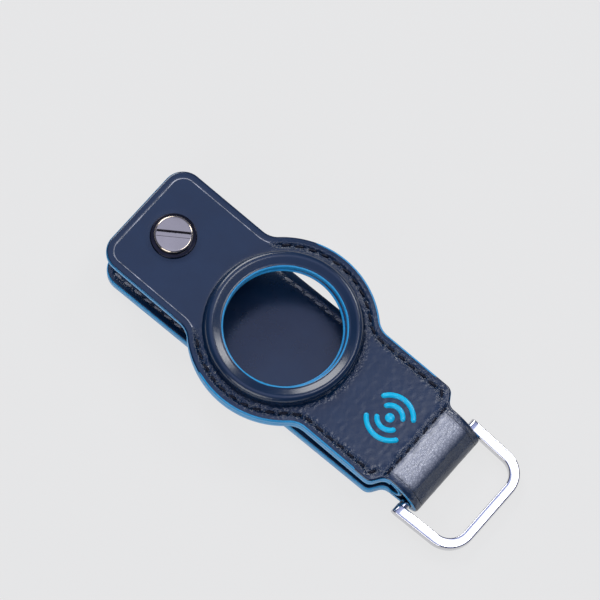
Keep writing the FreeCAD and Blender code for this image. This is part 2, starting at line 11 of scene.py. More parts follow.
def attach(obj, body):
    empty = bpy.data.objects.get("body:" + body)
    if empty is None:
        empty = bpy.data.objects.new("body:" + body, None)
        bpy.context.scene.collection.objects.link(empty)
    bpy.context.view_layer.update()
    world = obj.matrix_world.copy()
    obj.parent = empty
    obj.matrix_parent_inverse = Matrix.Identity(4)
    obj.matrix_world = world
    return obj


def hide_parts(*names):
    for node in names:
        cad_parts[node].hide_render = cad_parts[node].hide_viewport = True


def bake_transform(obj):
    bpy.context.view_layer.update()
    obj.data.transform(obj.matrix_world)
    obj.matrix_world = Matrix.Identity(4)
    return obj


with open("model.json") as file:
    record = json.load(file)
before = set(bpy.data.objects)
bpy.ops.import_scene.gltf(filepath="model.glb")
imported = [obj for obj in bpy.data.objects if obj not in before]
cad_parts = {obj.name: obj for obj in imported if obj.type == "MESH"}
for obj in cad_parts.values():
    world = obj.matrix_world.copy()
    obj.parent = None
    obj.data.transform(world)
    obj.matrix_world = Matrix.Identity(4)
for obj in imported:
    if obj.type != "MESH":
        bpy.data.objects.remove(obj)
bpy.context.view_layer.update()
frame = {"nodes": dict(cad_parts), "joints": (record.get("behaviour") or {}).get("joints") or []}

# Leather tracker tag holder. Lengths are in millimetres until a mesh is made.
MM = 0.001
FLAP_HINGE = next(joint for joint in frame["joints"] if joint["name"] == "flap_hinge")
BAR = np.array(FLAP_HINGE["pos_m"]) / MM
REST_TILT = math.radians(-FLAP_HINGE["range_deg"][0])
RIGHT_ANGLE = math.pi / 2

# Sizes shared with the solids
SEAT_RADIUS = 16.3
WINDOW_RADIUS = 13.9
RIM_MIDDLE = 15.6
RIM_TUBE = 1.9
RIM_RISE = 1.1
BULGE_RADIUS = 21.0
BULGE_FILLET = 5.0
HALF_WIDTH = 13.9
NECK_HALF = 10.6
TAB_LENGTH = 41.6
TAB_RADIUS = 4.8
SHOULDER_START = 36.0
SHOULDER_ANGLE = math.radians(57)
SHOULDER_DEPTH = HALF_WIDTH - NECK_HALF
SHOULDER_LENGTH = SHOULDER_DEPTH / math.tan(SHOULDER_ANGLE)
SHOULDER_BEND_SHARE = 0.31
SHOULDER_BEND = SHOULDER_DEPTH / math.sin(SHOULDER_ANGLE) * SHOULDER_BEND_SHARE
HALF_SLOPE = math.tan(SHOULDER_ANGLE / 2)
SHOULDER_RADIUS = SHOULDER_BEND / HALF_SLOPE
NECK_RUN = 0.05
FOLD_START = SHOULDER_START + SHOULDER_LENGTH + SHOULDER_BEND + NECK_RUN
LEATHER = 1.6
BOARD_TOP = 2.0
BACK_TOP = 2.6
BACKING_UNDER = 5.9
LEATHER_UNDER = 7.7
FLAP_TOP = 9.3
FOLD_LINING = 0.8
EDGE_PAINT = 0.3
WINDOW_WALL = WINDOW_RADIUS + EDGE_PAINT
LINING_UNDER = FLAP_TOP + 0.1
LINING_TOP = FLAP_TOP + 0.7
LINING_EDGE = WINDOW_RADIUS - 0.85
LINING_SHIFT = np.array((-0.10, -0.18))
WINDOW_EDGE = WINDOW_RADIUS - 0.45
LIP_RADIUS = WINDOW_EDGE + EDGE_PAINT
WINDOW_SHIFT = np.array((0.26, 0.06))
LINING_RADIUS = SEAT_RADIUS + 0.3
CORE_HEIGHT = 0.85
LIP_WIDTH = 0.4
WRAP_OUTER = BAR[2]
SCREW_X = -31.7
EYELET_HOLE = 2.05
BARREL_HOLE = 2.95
WASHER_BORE = 1.5
WASHER_RADIUS = 5.15
WASHER_TOP = 9.7
HEAD_RADIUS = 4.3
HEAD_CHAMFER = 0.5
HEAD_TOP = 11.0
SLOT_HALF_LENGTH = 3.8
SLOT_HALF_WIDTH = 0.65
SLOT_DEPTH = 0.75
SLOT_ANGLE = math.radians(35.6)
SCREW_NECK = 1.4
THREAD_RADIUS = 1.65
THREAD_TOP = 5.2
SCREW_TIP = 3.2
RING_HALF_THICKNESS = 1.3
RING_BAR_RADIUS = 1.2
RING_LENGTH = 15.9
RING_BAND = 2.4
RING_TAPER = 0.6
RING_INNER = 11.35
RING_CORNER = 6.5
RING_EDGE = 0.35
RING_LEG_ROUND = 1.235
RING_SHIFT = -0.45
FLOOR_CLEARANCE = 0.05
RING_TILT = math.asin((BAR[2] - RING_HALF_THICKNESS - FLOOR_CLEARANCE) / RING_LENGTH)
STITCH_INSET = 2.0
PRESS_INSET = 1.7
STITCH_PITCH = 2.9
STITCH_LENGTH = 2.0
SHOULDER_ROW = 37.8
EMBLEM_X = 30.2
EMBLEM_LINE = 1.2
EMBLEM_RISE = 0.5
EMBLEM_RADII = (2.8, 5.1)
EMBLEM_SPREAD = math.radians(55)
FILLET_X = math.sqrt((BULGE_RADIUS + BULGE_FILLET) ** 2 - (HALF_WIDTH + BULGE_FILLET) ** 2)
FILLET_ANGLE = math.atan2(HALF_WIDTH + BULGE_FILLET, FILLET_X)
RIM_FOOT = RIM_MIDDLE + math.sqrt(RIM_TUBE ** 2 - RIM_RISE ** 2)
LIP_RISE = RIM_RISE + math.sqrt(RIM_TUBE ** 2 - (RIM_MIDDLE - WINDOW_WALL) ** 2)

RANDOM = np.random.default_rng(11)


# Paths round the cut edges
def line(first, last, count):
    """Points from first up to, but without, last."""
    first, last = np.array(first, float), np.array(last, float)
    return first + np.linspace(0, 1, count, endpoint=False)[:, None] * (last - first)


def arc(centre, radius, start, stop, count):
    """Points along an arc, without its last one."""
    angles = np.linspace(start, stop, count, endpoint=False)
    return np.array(centre) + radius * np.column_stack([np.cos(angles), np.sin(angles)])


def on_circle(centre, radius, angle):
    return np.array(centre) + radius * np.array((math.cos(angle), math.sin(angle)))


def half_path(inset, form):
    """The cut edge on the +Y side, from the neck to the strap's far end, drawn in by inset."""
    half = HALF_WIDTH - inset
    neck = NECK_HALF - inset
    inner = SHOULDER_RADIUS + inset
    outer = max(SHOULDER_RADIUS - inset, 0.02)
    inner_x = SHOULDER_START + SHOULDER_LENGTH + SHOULDER_BEND
    outer_x = SHOULDER_START - (inset + outer) * HALF_SLOPE
    inner_middle = (inner_x, neck + inner)
    outer_middle = (outer_x, half - outer)
    slope_from = on_circle(inner_middle, inner, -RIGHT_ANGLE - SHOULDER_ANGLE)
    slope_to = on_circle(outer_middle, outer, RIGHT_ANGLE - SHOULDER_ANGLE)
    tab_x = TAB_LENGTH - TAB_RADIUS
    parts = [
        line((FOLD_START, neck), (inner_x, neck), 1),
        arc(inner_middle, inner, -RIGHT_ANGLE, -RIGHT_ANGLE - SHOULDER_ANGLE, 12),
        line(slope_from, slope_to, 6),
        arc(outer_middle, outer, RIGHT_ANGLE - SHOULDER_ANGLE, RIGHT_ANGLE, 12),
    ]
    if form == "strap":
        parts.append(line((outer_x, half), (-tab_x, half), 300))
    else:
        bulge = BULGE_RADIUS - inset
        bend = BULGE_FILLET + inset
        bend_y = HALF_WIDTH + BULGE_FILLET
        parts += [
            line((outer_x, half), (FILLET_X, half), 90),
            arc((FILLET_X, bend_y), bend, -RIGHT_ANGLE, FILLET_ANGLE - math.pi, 22),
        ]
        if form == "backing":
            end = arc((0, 0), bulge, FILLET_ANGLE, math.pi, 220)
            return np.vstack([*parts, end, (-bulge, 0.0)])
        parts += [
            arc((0, 0), bulge, FILLET_ANGLE, math.pi - FILLET_ANGLE, 150),
            arc((-FILLET_X, bend_y), bend, -FILLET_ANGLE, -RIGHT_ANGLE, 22),
            line((-FILLET_X, half), (-tab_x, half), 70),
        ]
    corner_y = HALF_WIDTH - TAB_RADIUS
    end_x = inset - TAB_LENGTH
    corner = arc((-tab_x, corner_y), TAB_RADIUS - inset, RIGHT_ANGLE, math.pi, 26)
    return np.vstack([*parts, corner, line((end_x, corner_y), (end_x, 0), 30), (end_x, 0.0)])


def edge_path(inset, form):
    """The whole cut edge, open at the neck."""
    upper = half_path(inset, form)
    return np.vstack([upper, upper[-2::-1] * (1, -1)])


def mirrored(path):
    """A path on the +Y side and its mirror image."""
    return np.vstack([path, path * (1, -1)])


def circle(radius, count, centre_x=0.0):
    return arc((centre_x, 0), radius, 0, 2 * math.pi, count)


def run_along(path):
    """Distance along a path at each of its points."""
    return np.concatenate([[0], np.cumsum(np.linalg.norm(np.diff(path, axis=0), axis=1))])


def stitches_along(path):
    """Places and headings of stitches spread evenly along a path."""
    distance = run_along(path)
    count = max(1, round(distance[-1] / STITCH_PITCH))
    targets = distance[-1] * (np.arange(count) + 0.5) / count

    def at(shift):
        return np.column_stack([np.interp(targets + shift, distance, values) for values in path.T])

    ahead = at(0.1) - at(-0.1)
    return at(0), np.arctan2(ahead[:, 1], ahead[:, 0])


# Frames
def tilt(points, angle=REST_TILT):
    """Turns points about the bar, from the closed flap to where it stands at rest."""
    moved = np.asarray(points, float) - BAR
    cosine, sine = math.cos(angle), math.sin(angle)
    return BAR + np.column_stack([
        moved[:, 0] * cosine + moved[:, 2] * sine,
        moved[:, 1],
        moved[:, 2] * cosine - moved[:, 0] * sine,
    ])


def with_height(path, height):
    return np.column_stack([path, np.broadcast_to(height, len(path))])


def on_flap(path, height):
    """A path at a height of the closed flap, turned with it."""
    return tilt(with_height(path, height))


def neck_line():
    """Y places across the neck's end, shared by the pieces that meet there."""
    return np.linspace(DEEP - NECK_HALF, NECK_HALF - DEEP, 61)


def closed_at_neck(path):
    """An open edge path closed by the line across the neck's end."""
    across = neck_line()[1:-1]
    return np.vstack([path, np.column_stack([np.full(len(across), FOLD_START), across])])


# Mesh building
MERGE_DISTANCE = 2e-7
ROW_SHARE = 0.866
BORDER_SHARE = 0.55


def add_object(name, data):
    obj = bpy.data.objects.new(name, data)
    bpy.context.scene.collection.objects.link(obj)
    return obj


class Shell:
    """Points and faces of one piece, gathered before its mesh is made."""

    def __init__(self):
        self.points = []
        self.faces = []
        self.count = 0

    def add(self, points):
        start = self.count
        self.points.append(np.asarray(points, float))
        self.count += len(points)
        return start

    def loft(self, loops, closed=False):
        """Quads between loops with the same number of points."""
        starts = [self.add(loop) for loop in loops]
        length = len(loops[0])
        last = length if closed else length - 1
        for first, second in zip(starts, starts[1:]):
            for index in range(last):
                following = (index + 1) % length
                near = (first + index, first + following)
                self.faces.append((*near, second + following, second + index))

    def tube(self, stations):
        """A closed tube through rings of points, with a cap at each end."""
        start = self.count
        self.loft(stations, closed=True)
        size = len(stations[0])
        last = start + size * (len(stations) - 1)
        self.faces.append(tuple(range(start + size - 1, start - 1, -1)))
        self.faces.append(tuple(range(last, last + size)))

    def fill(self, outline, holes, spacing, height, place=np.asarray):
        """An area between loops; its height is a number or a function of its points."""
        corners, faces = fill_area(outline, holes, spacing)
        level = height(corners) if callable(height) else height
        start = self.add(place(with_height(corners, level)))
        self.faces.extend(tuple(start + corner for corner in face) for face in faces)

    def piece(self, name, material, body, node, slot, sharp_angle=50):
        """Makes the mesh, gives it to a body or to the fold, and puts it in place of a solid."""
        mesh = bpy.data.meshes.new(name)
        mesh.from_pydata((np.vstack(self.points) * MM).tolist(), [], self.faces)
        build = bmesh.new()
        build.from_mesh(mesh)
        bmesh.ops.remove_doubles(build, verts=build.verts, dist=MERGE_DISTANCE)
        border = [edge for edge in build.edges if edge.is_boundary]
        if border:
            bmesh.ops.holes_fill(build, edges=border, sides=0)
        bmesh.ops.recalc_face_normals(build, faces=build.faces)
        build.to_mesh(mesh)
        build.free()
        mesh.shade_smooth()
        mesh.set_sharp_from_angle(angle=math.radians(sharp_angle))
        mesh.materials.append(material)
        obj = add_object(name, mesh)
        if body == "fold":
            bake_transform(obj)
        else:
            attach(obj, body)
        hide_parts(node)
        return obj


def inside(points, outline):
    """Which points lie inside a closed outline."""
    x, y = points[:, 0][:, None], points[:, 1][:, None]
    x1, y1 = outline[:, 0], outline[:, 1]
    x2, y2 = np.roll(x1, -1), np.roll(y1, -1)
    rise = np.where(y2 == y1, 1e-12, y2 - y1)
    crosses = ((y1 > y) != (y2 > y)) & (x < (x2 - x1) * (y - y1) / rise + x1)
    return crosses.sum(axis=1) % 2 == 1


def nearest(points, targets):
    """Distance from each point to the nearest target."""
    chunks = np.array_split(points, max(1, len(points) // 2000))
    return np.concatenate([
        np.linalg.norm(chunk[:, None] - targets[None], axis=2).min(axis=1) for chunk in chunks
    ])


def fill_area(outline, holes, spacing):
    """Triangles inside outline and outside holes, with points about spacing apart."""
    loops = [outline, *holes]
    border = np.vstack(loops)
    edges = []
    start = 0
    for loop in loops:
        edges += [(start + index, start + (index + 1) % len(loop)) for index in range(len(loop))]
        start += len(loop)

    def wanted(points):
        keep = inside(points, outline)
        for hole in holes:
            keep &= ~inside(points, hole)
        return keep

    low, high = outline.min(axis=0), outline.max(axis=0)
    columns = np.arange(low[0], high[0], spacing)
    rows = np.arange(low[1], high[1], spacing * ROW_SHARE)
    grid = np.vstack([
        np.column_stack([columns + (number % 2) * spacing / 2, np.full(len(columns), row)])
        for number, row in enumerate(rows)
    ])
    grid = grid[wanted(grid)]
    grid = grid[nearest(grid, border) > spacing * BORDER_SHARE]
    points = np.vstack([border, grid])
    result = delaunay_2d_cdt([Vector(point) for point in points], edges, [], 0, 1e-7)
    corners = np.array([tuple(point) for point in result[0]])
    faces = np.array([face for face in result[2] if len(face) == 3])
    return corners, faces[wanted(corners[faces].mean(axis=1))]


def turned_loops(section, count, centre_x=0.0):
    """Circles on the flap; section is pairs of radius and height."""
    return [on_flap(circle(radius, count, centre_x), height) for radius, height in section]


def lathe(shell, section, count, centre_x=0.0):
    """A closed solid of revolution on the flap."""
    loops = turned_loops(section, count, centre_x)
    shell.loft([*loops, loops[0]], closed=True)


def rounded_box(left, right, low, high, turn, steps=5):
    """Corners of a rounded rectangle, as pairs of radius and height."""
    middles = [
        (right - turn, low + turn), (right - turn, high - turn),
        (left + turn, high - turn), (left + turn, low + turn),
    ]
    points = []
    for number, middle in enumerate(middles):
        start = (number - 1) * RIGHT_ANGLE
        angles = np.linspace(start, start + RIGHT_ANGLE, steps)
        points += [on_circle(middle, turn, angle) for angle in angles]
    return points


def wander(x, y, scale, seed=0.0):
    """Smooth noise at points of a plane; scale is the size of its features."""
    return np.array([noise.noise(Vector((a / scale, b / scale, seed))) for a, b in zip(x, y)])


def ridge(value, middle, width):
    return np.exp(-(((value - middle) / width) ** 2))


def fade(value, start, stop):
    """0 before start, 1 after stop, smooth between."""
    share = np.clip((value - start) / (stop - start), 0, 1)
    return share * share * (3 - 2 * share)


# Materials, whose texture scales are per metre
TONE_RANGE = (0.3, 0.7)
# Painted highlight: the near-white tint laid on pressed lines and on the top of the neck.
PAINTED_HIGHLIGHT = (0.93, 0.95, 1.0, 1)
# Painted shade: the near-black tint for the screw slot's shaded wall.
PAINTED_SHADE = (0.012, 0.012, 0.02, 1)


class Graph:
    """A node tree, with short ways to add what the materials share."""

    def __init__(self, tree):
        self.nodes = tree.nodes
        self.links = tree.links

    def feed(self, sockets, sources):
        """Links each named socket to its source, or sets it to a plain value."""
        for label, source in sources.items():
            if isinstance(source, bpy.types.NodeSocket):
                self.links.new(source, sockets[label])
            else:
                sockets[label].default_value = source

    def node(self, kind, output, sources, **settings):
        """One output of a new node."""
        node = self.nodes.new("ShaderNode" + kind)
        for key, value in settings.items():
            setattr(node, key, value)
        self.feed(node.inputs, sources)
        return node.outputs[output]

    def texture(self, kind, output, sources, **settings):
        """One output of a texture in the object's own coordinates."""
        place = self.node("TexCoord", "Object", {})
        return self.node("Tex" + kind, output, {"Vector": place, **sources}, **settings)

    def noise(self, scale, detail=3.0, roughness=0.55):
        sources = {"Scale": scale, "Detail": detail, "Roughness": roughness}
        return self.texture("Noise", "Fac", sources)

    def mark(self, name):
        """A value stored on the mesh's points."""
        return self.node("Attribute", "Fac", {}, attribute_name=name)

    def two_tone(self, source, dark, light):
        colour = self.node("ValToRGB", "Color", {"Fac": source})
        elements = colour.node.color_ramp.elements
        for element, place, tone in zip(elements, TONE_RANGE, (dark, light)):
            element.position = place
            element.color = (*tone, 1)
        return colour

    def tinted(self, share, colour, tint):
        """A colour that turns into a plain tint with share."""
        return self.node("Mix", 2, {0: share, 6: colour, 7: tint}, data_type="RGBA")

    def spread(self, source, low, high, start=TONE_RANGE[0], stop=TONE_RANGE[1]):
        ends = {"From Min": start, "From Max": stop, "To Min": low, "To Max": high}
        return self.node("MapRange", "Result", {"Value": source, **ends})

    def combined(self, operation, first, second):
        return self.node("Math", "Value", {0: first, 1: second}, operation=operation)

    def bump(self, height, strength, distance, **below):
        sources = {"Height": height, "Strength": strength, "Distance": distance * MM, **below}
        return self.node("Bump", "Normal", sources)


class Surface(Graph):
    """A material, put together round its main shader."""

    def __init__(self, name):
        self.material = bpy.data.materials.new(name)
        self.material.use_nodes = True
        super().__init__(self.material.node_tree)
        self.shader = self.nodes["Principled BSDF"]

    def dress(self, **sources):
        """Feeds the shader's sockets and hands back the material."""
        named = {key.replace("_", " "): source for key, source in sources.items()}
        self.feed(self.shader.inputs, named)
        return self.material


def leather_material(name, dark, light, roughness, grain, folds, cells, sheen):
    """Smooth dyed leather: mottled, with fine pores, puckers at seams, and painted highlights along
    pressed lines and on the neck.
    """
    skin = Surface(name)
    if cells:
        net = skin.texture("Voronoi", "Distance", {"Scale": 1700.0}, feature="DISTANCE_TO_EDGE")
        broken = skin.spread(net, 0.5, 1.0, 0.0, 0.2)
    else:
        broken = skin.spread(skin.noise(500, 2.0), 0.25, 1.0)
    # Painted highlight: where the pressed mark is set, the colour turns towards a near-white tint,
    # broken into patches.
    pressed = skin.combined("MULTIPLY", skin.mark("pressed"), broken)
    mottled = skin.two_tone(skin.noise(160, 5.0), dark, light)
    pucker = skin.mark("pucker")
    worn = skin.spread(skin.noise(420, 4.0), *roughness)
    glint = skin.spread(pucker, 1.0, 0.6, 0.0, 0.8)
    puckers = skin.combined("MULTIPLY", pucker, 0.9)
    pores = skin.texture("Voronoi", "Distance", {"Scale": 1500.0})
    normal = skin.bump(skin.noise(330), folds, 0.9)
    normal = skin.bump(pores, grain, 0.2, Normal=normal)
    normal = skin.bump(skin.noise(2600, 4.0, 0.6), grain, 0.16, Normal=normal)
    normal = skin.bump(skin.noise(1350, 2.5, 0.6), puckers, 0.7, Normal=normal)
    if cells:
        normal = skin.bump(net, cells, 0.3, Normal=normal)
    return skin.dress(
        Base_Color=skin.tinted(pressed, mottled, PAINTED_HIGHLIGHT), Normal=normal,
        Roughness=skin.combined("MULTIPLY", worn, glint),
        Specular_IOR_Level=sheen, Coat_Weight=sheen / 3, Coat_Roughness=0.2,
    )


def paint_material(name, dark, light, roughness):
    """Edge paint or enamel: nearly even colour with brush unevenness."""
    paint = Surface(name)
    shade = paint.noise(700, 4.0)
    return paint.dress(
        Base_Color=paint.two_tone(shade, dark, light), Roughness=paint.spread(shade, *roughness),
        Normal=paint.bump(paint.noise(1100), 0.25, 0.2),
    )


def thread_material(name, dark, light):
    """Waxed thread: twisted strands."""
    thread = Surface(name)
    strands = thread.texture("Wave", "Fac", {"Scale": 1400.0, "Distortion": 1.5, "Detail": 2.0})
    return thread.dress(
        Base_Color=thread.two_tone(strands, dark, light), Specular_IOR_Level=0.3,
        Roughness=thread.spread(strands, 0.3, 0.5), Normal=thread.bump(strands, 0.4, 0.2),
    )


def metal_material(name, dark, light, roughness, scratch):
    """Polished metal with faint wipe marks, tinted near black by painted shade where the mesh marks
    it.
    """
    metal = Surface(name)
    polished = metal.two_tone(metal.noise(220), dark, light)
    wipe = metal.noise(900, 5.0, 0.65)
    # Painted shade: where the mesh's mark is set, the metal turns near black.
    return metal.dress(
        Base_Color=metal.tinted(metal.mark("painted_shade"), polished, PAINTED_SHADE), Metallic=1.0,
        Roughness=metal.spread(wipe, *roughness), Normal=metal.bump(wipe, scratch, 0.1),
    )


def board_material(name, dark, light):
    """Pressed fibre."""
    board = Surface(name)
    fibres = board.noise(900, 6.0, 0.7)
    return board.dress(
        Base_Color=board.two_tone(fibres, dark, light), Roughness=board.spread(fibres, 0.75, 0.9),
        Normal=board.bump(fibres, 0.3, 0.2),
    )


NAVY = ((0.0015, 0.018, 0.053), (0.003, 0.024, 0.068))
LEATHER_OUT = leather_material("navy_leather", *NAVY, (0.20, 0.215), 0.015, 0.004, 0.0, 0.65)
LEATHER_FOLD = leather_material("navy_leather_creased", *NAVY, (0.20, 0.27), 0.10, 0.02, 0.2, 0.75)
LEATHER_IN = leather_material("navy_lining", *NAVY, (0.20, 0.26), 0.03, 0.006, 0.0, 0.8)
EDGE_BLUE = paint_material("edge_paint", (0.014, 0.33, 0.65), (0.028, 0.41, 0.76), (0.28, 0.40))
EMBLEM_BLUE = paint_material("emblem_blue", (0.004, 0.62, 0.97), (0.008, 0.70, 1.0), (0.14, 0.22))
THREAD = thread_material("thread", (0.004, 0.006, 0.014), (0.014, 0.018, 0.036))
# Painted glint: the back row's dark thread is given a light grey colour for the glints on it.
THREAD_GLINT = thread_material("thread_painted_glint", (0.08, 0.085, 0.10), (0.50, 0.52, 0.58))
CHROME = metal_material("chrome", (0.57, 0.57, 0.60), (0.63, 0.63, 0.66), (0.06, 0.10), 0.02)
SCREW_METAL = metal_material(
    "screw_metal", (0.58, 0.50, 0.40), (0.65, 0.56, 0.45), (0.08, 0.13), 0.02
)
DARK_METAL = metal_material(
    "dark_nickel", (0.02, 0.02, 0.026), (0.035, 0.034, 0.045), (0.12, 0.2), 0.02
)
STEEL = metal_material("steel", (0.46, 0.46, 0.47), (0.56, 0.56, 0.57), (0.25, 0.35), 0.06)
BOARD = board_material("board", (0.28, 0.24, 0.18), (0.4, 0.35, 0.28))
CORE = board_material("former", (0.02, 0.02, 0.022), (0.035, 0.035, 0.04))


# Stitch places
def before_shoulder(path):
    return path[path[:, 0] <= SHOULDER_START]


def flap_row():
    """The stitch line on the flap's +Y side, from the bulge to the shoulder."""
    row = before_shoulder(half_path(STITCH_INSET, "flap"))
    return row[np.arctan2(row[:, 1], row[:, 0]) <= math.pi - FILLET_ANGLE + 0.001]


def paired_stitches(row):
    """Places and headings of stitches along a line on the +Y side and along its mirror image."""
    places, headings = stitches_along(row)
    return mirrored(places), np.concatenate([headings, -headings])


def shoulder_stitches():
    half = NECK_HALF - EDGE_PAINT
    return stitches_along(np.array([[SHOULDER_ROW, -half], [SHOULDER_ROW, half]]))


def stitch_holes(places, headings):
    reach = np.column_stack([np.cos(headings), np.sin(headings)]) * STITCH_LENGTH / 2
    return np.vstack([places - reach, places + reach])


BACK_ROW = before_shoulder(half_path(STITCH_INSET, "strap"))
FLAP_STITCHES = paired_stitches(flap_row())
BACK_STITCHES = paired_stitches(BACK_ROW)
SHOULDER_STITCHES = shoulder_stitches()
FLAP_HOLES = np.vstack([stitch_holes(*FLAP_STITCHES), stitch_holes(*SHOULDER_STITCHES)])
BACK_HOLES = stitch_holes(*BACK_STITCHES)


# Surface shape of the leather
BAND_INSETS = np.array([
    0.08, 0.12, 0.18, 0.25, 0.34, 0.44, 0.55, 0.7, 0.9, 1.1, 1.28, 1.42, 1.52, 1.59, 1.64, 1.67,
    1.70, 1.73, 1.76, 1.81, 1.88, 1.98, 2.12, 2.3, 2.55, 2.85,
])
ROLL_DROP = 0.5
EDGE_TURN = 0.65
BACK_LIP = 0.25
LIP_CLEAR = 0.65
DEEP = BAND_INSETS[-1]
PUFF_START = SHOULDER_ROW + 0.5
PUFF_HEIGHT = 0.3
PUFF_SLOPE = math.tan(math.radians(8))
# Share and sides of the painted highlight on the neck's top.
NECK_HIGHLIGHT_SHARE = 0.56
NECK_HIGHLIGHT_SIDES = (7.6, 10.2)
TAB_LIP = 0.92
GROOVE_WIDTH = 0.42
PIT_WIDTH = 0.36
BY_RIM = (-14.0, -8.0)
SEWN_FROM, SEWN_TO = (-16.0, -13.0), (35.2, 36.2)
IRONED_TO, NECK_FROM = (-16.5, -14.5), (38.2, 39.0)
ROW_SIDES = (10.2, 11.0)
EDGE_DIP = 0.2
CREASE_DEPTH = 0.11


def edge_round(inset):
    """How far the skin dips towards its cut edge."""
    share = np.clip((EDGE_TURN - inset) / (EDGE_TURN - BAND_INSETS[0]), 0, 1)
    return -EDGE_DIP * share ** 2.6


def crease(inset):
    """The line pressed along the edge with a hot iron."""
    swelling = 0.03 * ridge(inset, PRESS_INSET - 0.5, 0.35)
    return swelling - CREASE_DEPTH * ridge(inset, PRESS_INSET, 0.08)


def puff(distance, inset):
    """The leather's swelling just past the shoulder's stitches, above the flap's plane."""
    height = (PUFF_HEIGHT - PUFF_SLOPE * np.maximum(distance, 0)) * fade(distance, -0.45, 0.0)
    return height * fade(inset, 0.4, 1.6)


def pits(points, holes, depth, width):
    """Pits round stitch holes."""
    return -depth * ridge(nearest(points, holes), 0, width)


def flap_relief(points, inset):
    """Height of the flap's skin above its flat face."""
    x, y = points[:, 0], points[:, 1]
    radius = np.hypot(x, y)
    to_screw = np.hypot(x - SCREW_X, y)
    sewn = fade(x, *SEWN_FROM) * (1 - fade(x, *SEWN_TO))
    unsewn = 1 - fade(x, *IRONED_TO) + fade(x, *NECK_FROM)
    on_row = 1 - fade(np.abs(y), *ROW_SIDES)
    raised = 0.07 * ridge(inset, STITCH_INSET - 0.75, 0.3)
    groove = 0.17 * ridge(inset, STITCH_INSET, GROOVE_WIDTH)
    height = edge_round(inset) + crease(inset) * unsewn
    height += sewn * (raised - groove)
    height -= 0.2 * ridge(x, SHOULDER_ROW, 0.36) * on_row
    between = 0.5 + 0.5 * np.cos(y * 2 * math.pi / STITCH_PITCH)
    height += 0.1 * ridge(x, SHOULDER_ROW - 0.9, 0.5) * on_row * between
    height += puff(x - PUFF_START, np.minimum(inset, NECK_HALF - np.abs(y)))
    by_row = ridge(x, SHOULDER_ROW - 0.5, 0.8) * on_row
    by_rim = 0.8 * ridge(radius, RIM_FOOT + 0.7, 0.7) * fade(x, *BY_RIM)
    drawn_in = np.maximum.reduce([sewn * ridge(inset, STITCH_INSET, 0.7), by_row, by_rim])
    height += 0.18 * drawn_in * wander(x, y, 0.75, 2.0)
    height += pits(points, FLAP_HOLES, 0.22, PIT_WIDTH)
    height -= 0.16 * ridge(radius, RIM_FOOT, 0.4)
    height -= 0.08 * ridge(to_screw, WASHER_RADIUS, 0.6)
    height += 0.02 * wander(x, y, 9.0) * fade(inset, 0.6, 2.4) * (1 - fade(x, 38.0, 39.3))
    return height


def back_relief(points, inset):
    """Height of the back lining's skin above its flat face."""
    x, y = points[:, 0], points[:, 1]
    groove = 0.14 * ridge(inset, STITCH_INSET, GROOVE_WIDTH)
    height = edge_round(inset) / 2 - groove * (1 - fade(x, 35.5, 36.5))
    height += pits(points, BACK_HOLES, 0.16, PIT_WIDTH)
    height += 0.03 * wander(x, y, 8.0, 7.0) * fade(inset, 0.8, 2.4)
    return height


def flap_path(inset):
    return edge_path(inset, "flap")


def back_path(inset):
    """The back lining's outline, which keeps clear of the painted lip on one side."""
    share = min(1.0, (inset - BAND_INSETS[0]) / (LIP_CLEAR - BAND_INSETS[0]))
    plain = edge_path(inset, "strap")
    clear = edge_path(max(inset, BACK_LIP + (LIP_CLEAR - BACK_LIP) * share), "strap")
    weight = lip_on_back(plain)[:, None]
    return plain * (1 - weight) + clear * weight


def top_bands(path_at, top, relief):
    """Loops of a skin's upper side near its cut edge, from the edge inwards."""
    loops = []
    for inset in BAND_INSETS:
        path = path_at(inset)
        loops.append(with_height(path, top + relief(path, np.full(len(path), inset))))
    return loops


def flap_height(points):
    """Height of the flap's skin away from its cut edge."""
    return FLAP_TOP + flap_relief(points, np.full(len(points), DEEP))


def back_height(points):
    """Height of the back lining's skin away from its cut edge."""
    return BACK_TOP + back_relief(points, np.full(len(points), DEEP))


def rolled_edge(top_loop, path_at, drop, foot):
    """Loops from a skin's outermost line over the painted edge and down behind it."""
    behind = path_at(EDGE_PAINT)
    return [
        top_loop, with_height(path_at(BAND_INSETS[1]), drop),
        with_height(behind, drop), with_height(behind, foot),
    ]


# Flap
RIM_COUNT = 288
SEAT_COUNT = 240
RIM_SLOPE = math.radians(19)
RIM_CREST = RIM_RISE + RIM_TUBE - 0.12
RIM_TURN = 1.3
RIM_LEAN = 0.1
RIM_OUTER_SIDE = ((0.0, 0.0), (-0.03, 0.15), (0.0, 0.4), (0.05, 0.9), (0.09, 1.5))
LIP_ROUND = 0.35
LIP_DROP = 0.15


def rim_section():
    """Radius and rise pairs over the rim: steep outer side, round crest, even slope to the lip."""
    section = [(RIM_FOOT + out, rise) for out, rise in RIM_OUTER_SIDE]
    middle = (RIM_FOOT + RIM_LEAN - RIM_TURN, RIM_CREST - RIM_TURN)
    for angle in np.linspace(0, RIGHT_ANGLE + RIM_SLOPE, 16):
        section.append(tuple(on_circle(middle, RIM_TURN, angle)))
    last_radius, last_rise = section[-1]
    for radius in np.linspace(last_radius, LIP_RADIUS + LIP_ROUND, 9)[1:]:
        section.append((radius, last_rise - (last_radius - radius) * math.tan(RIM_SLOPE)))
    end_radius, end_rise = section[-1]
    for share in np.linspace(0, 1, 5)[1:]:
        radius = end_radius + (LIP_RADIUS - end_radius) * share
        section.append((radius, end_rise + (LIP_RISE - LIP_DROP - end_rise) * share ** 2))
    return section


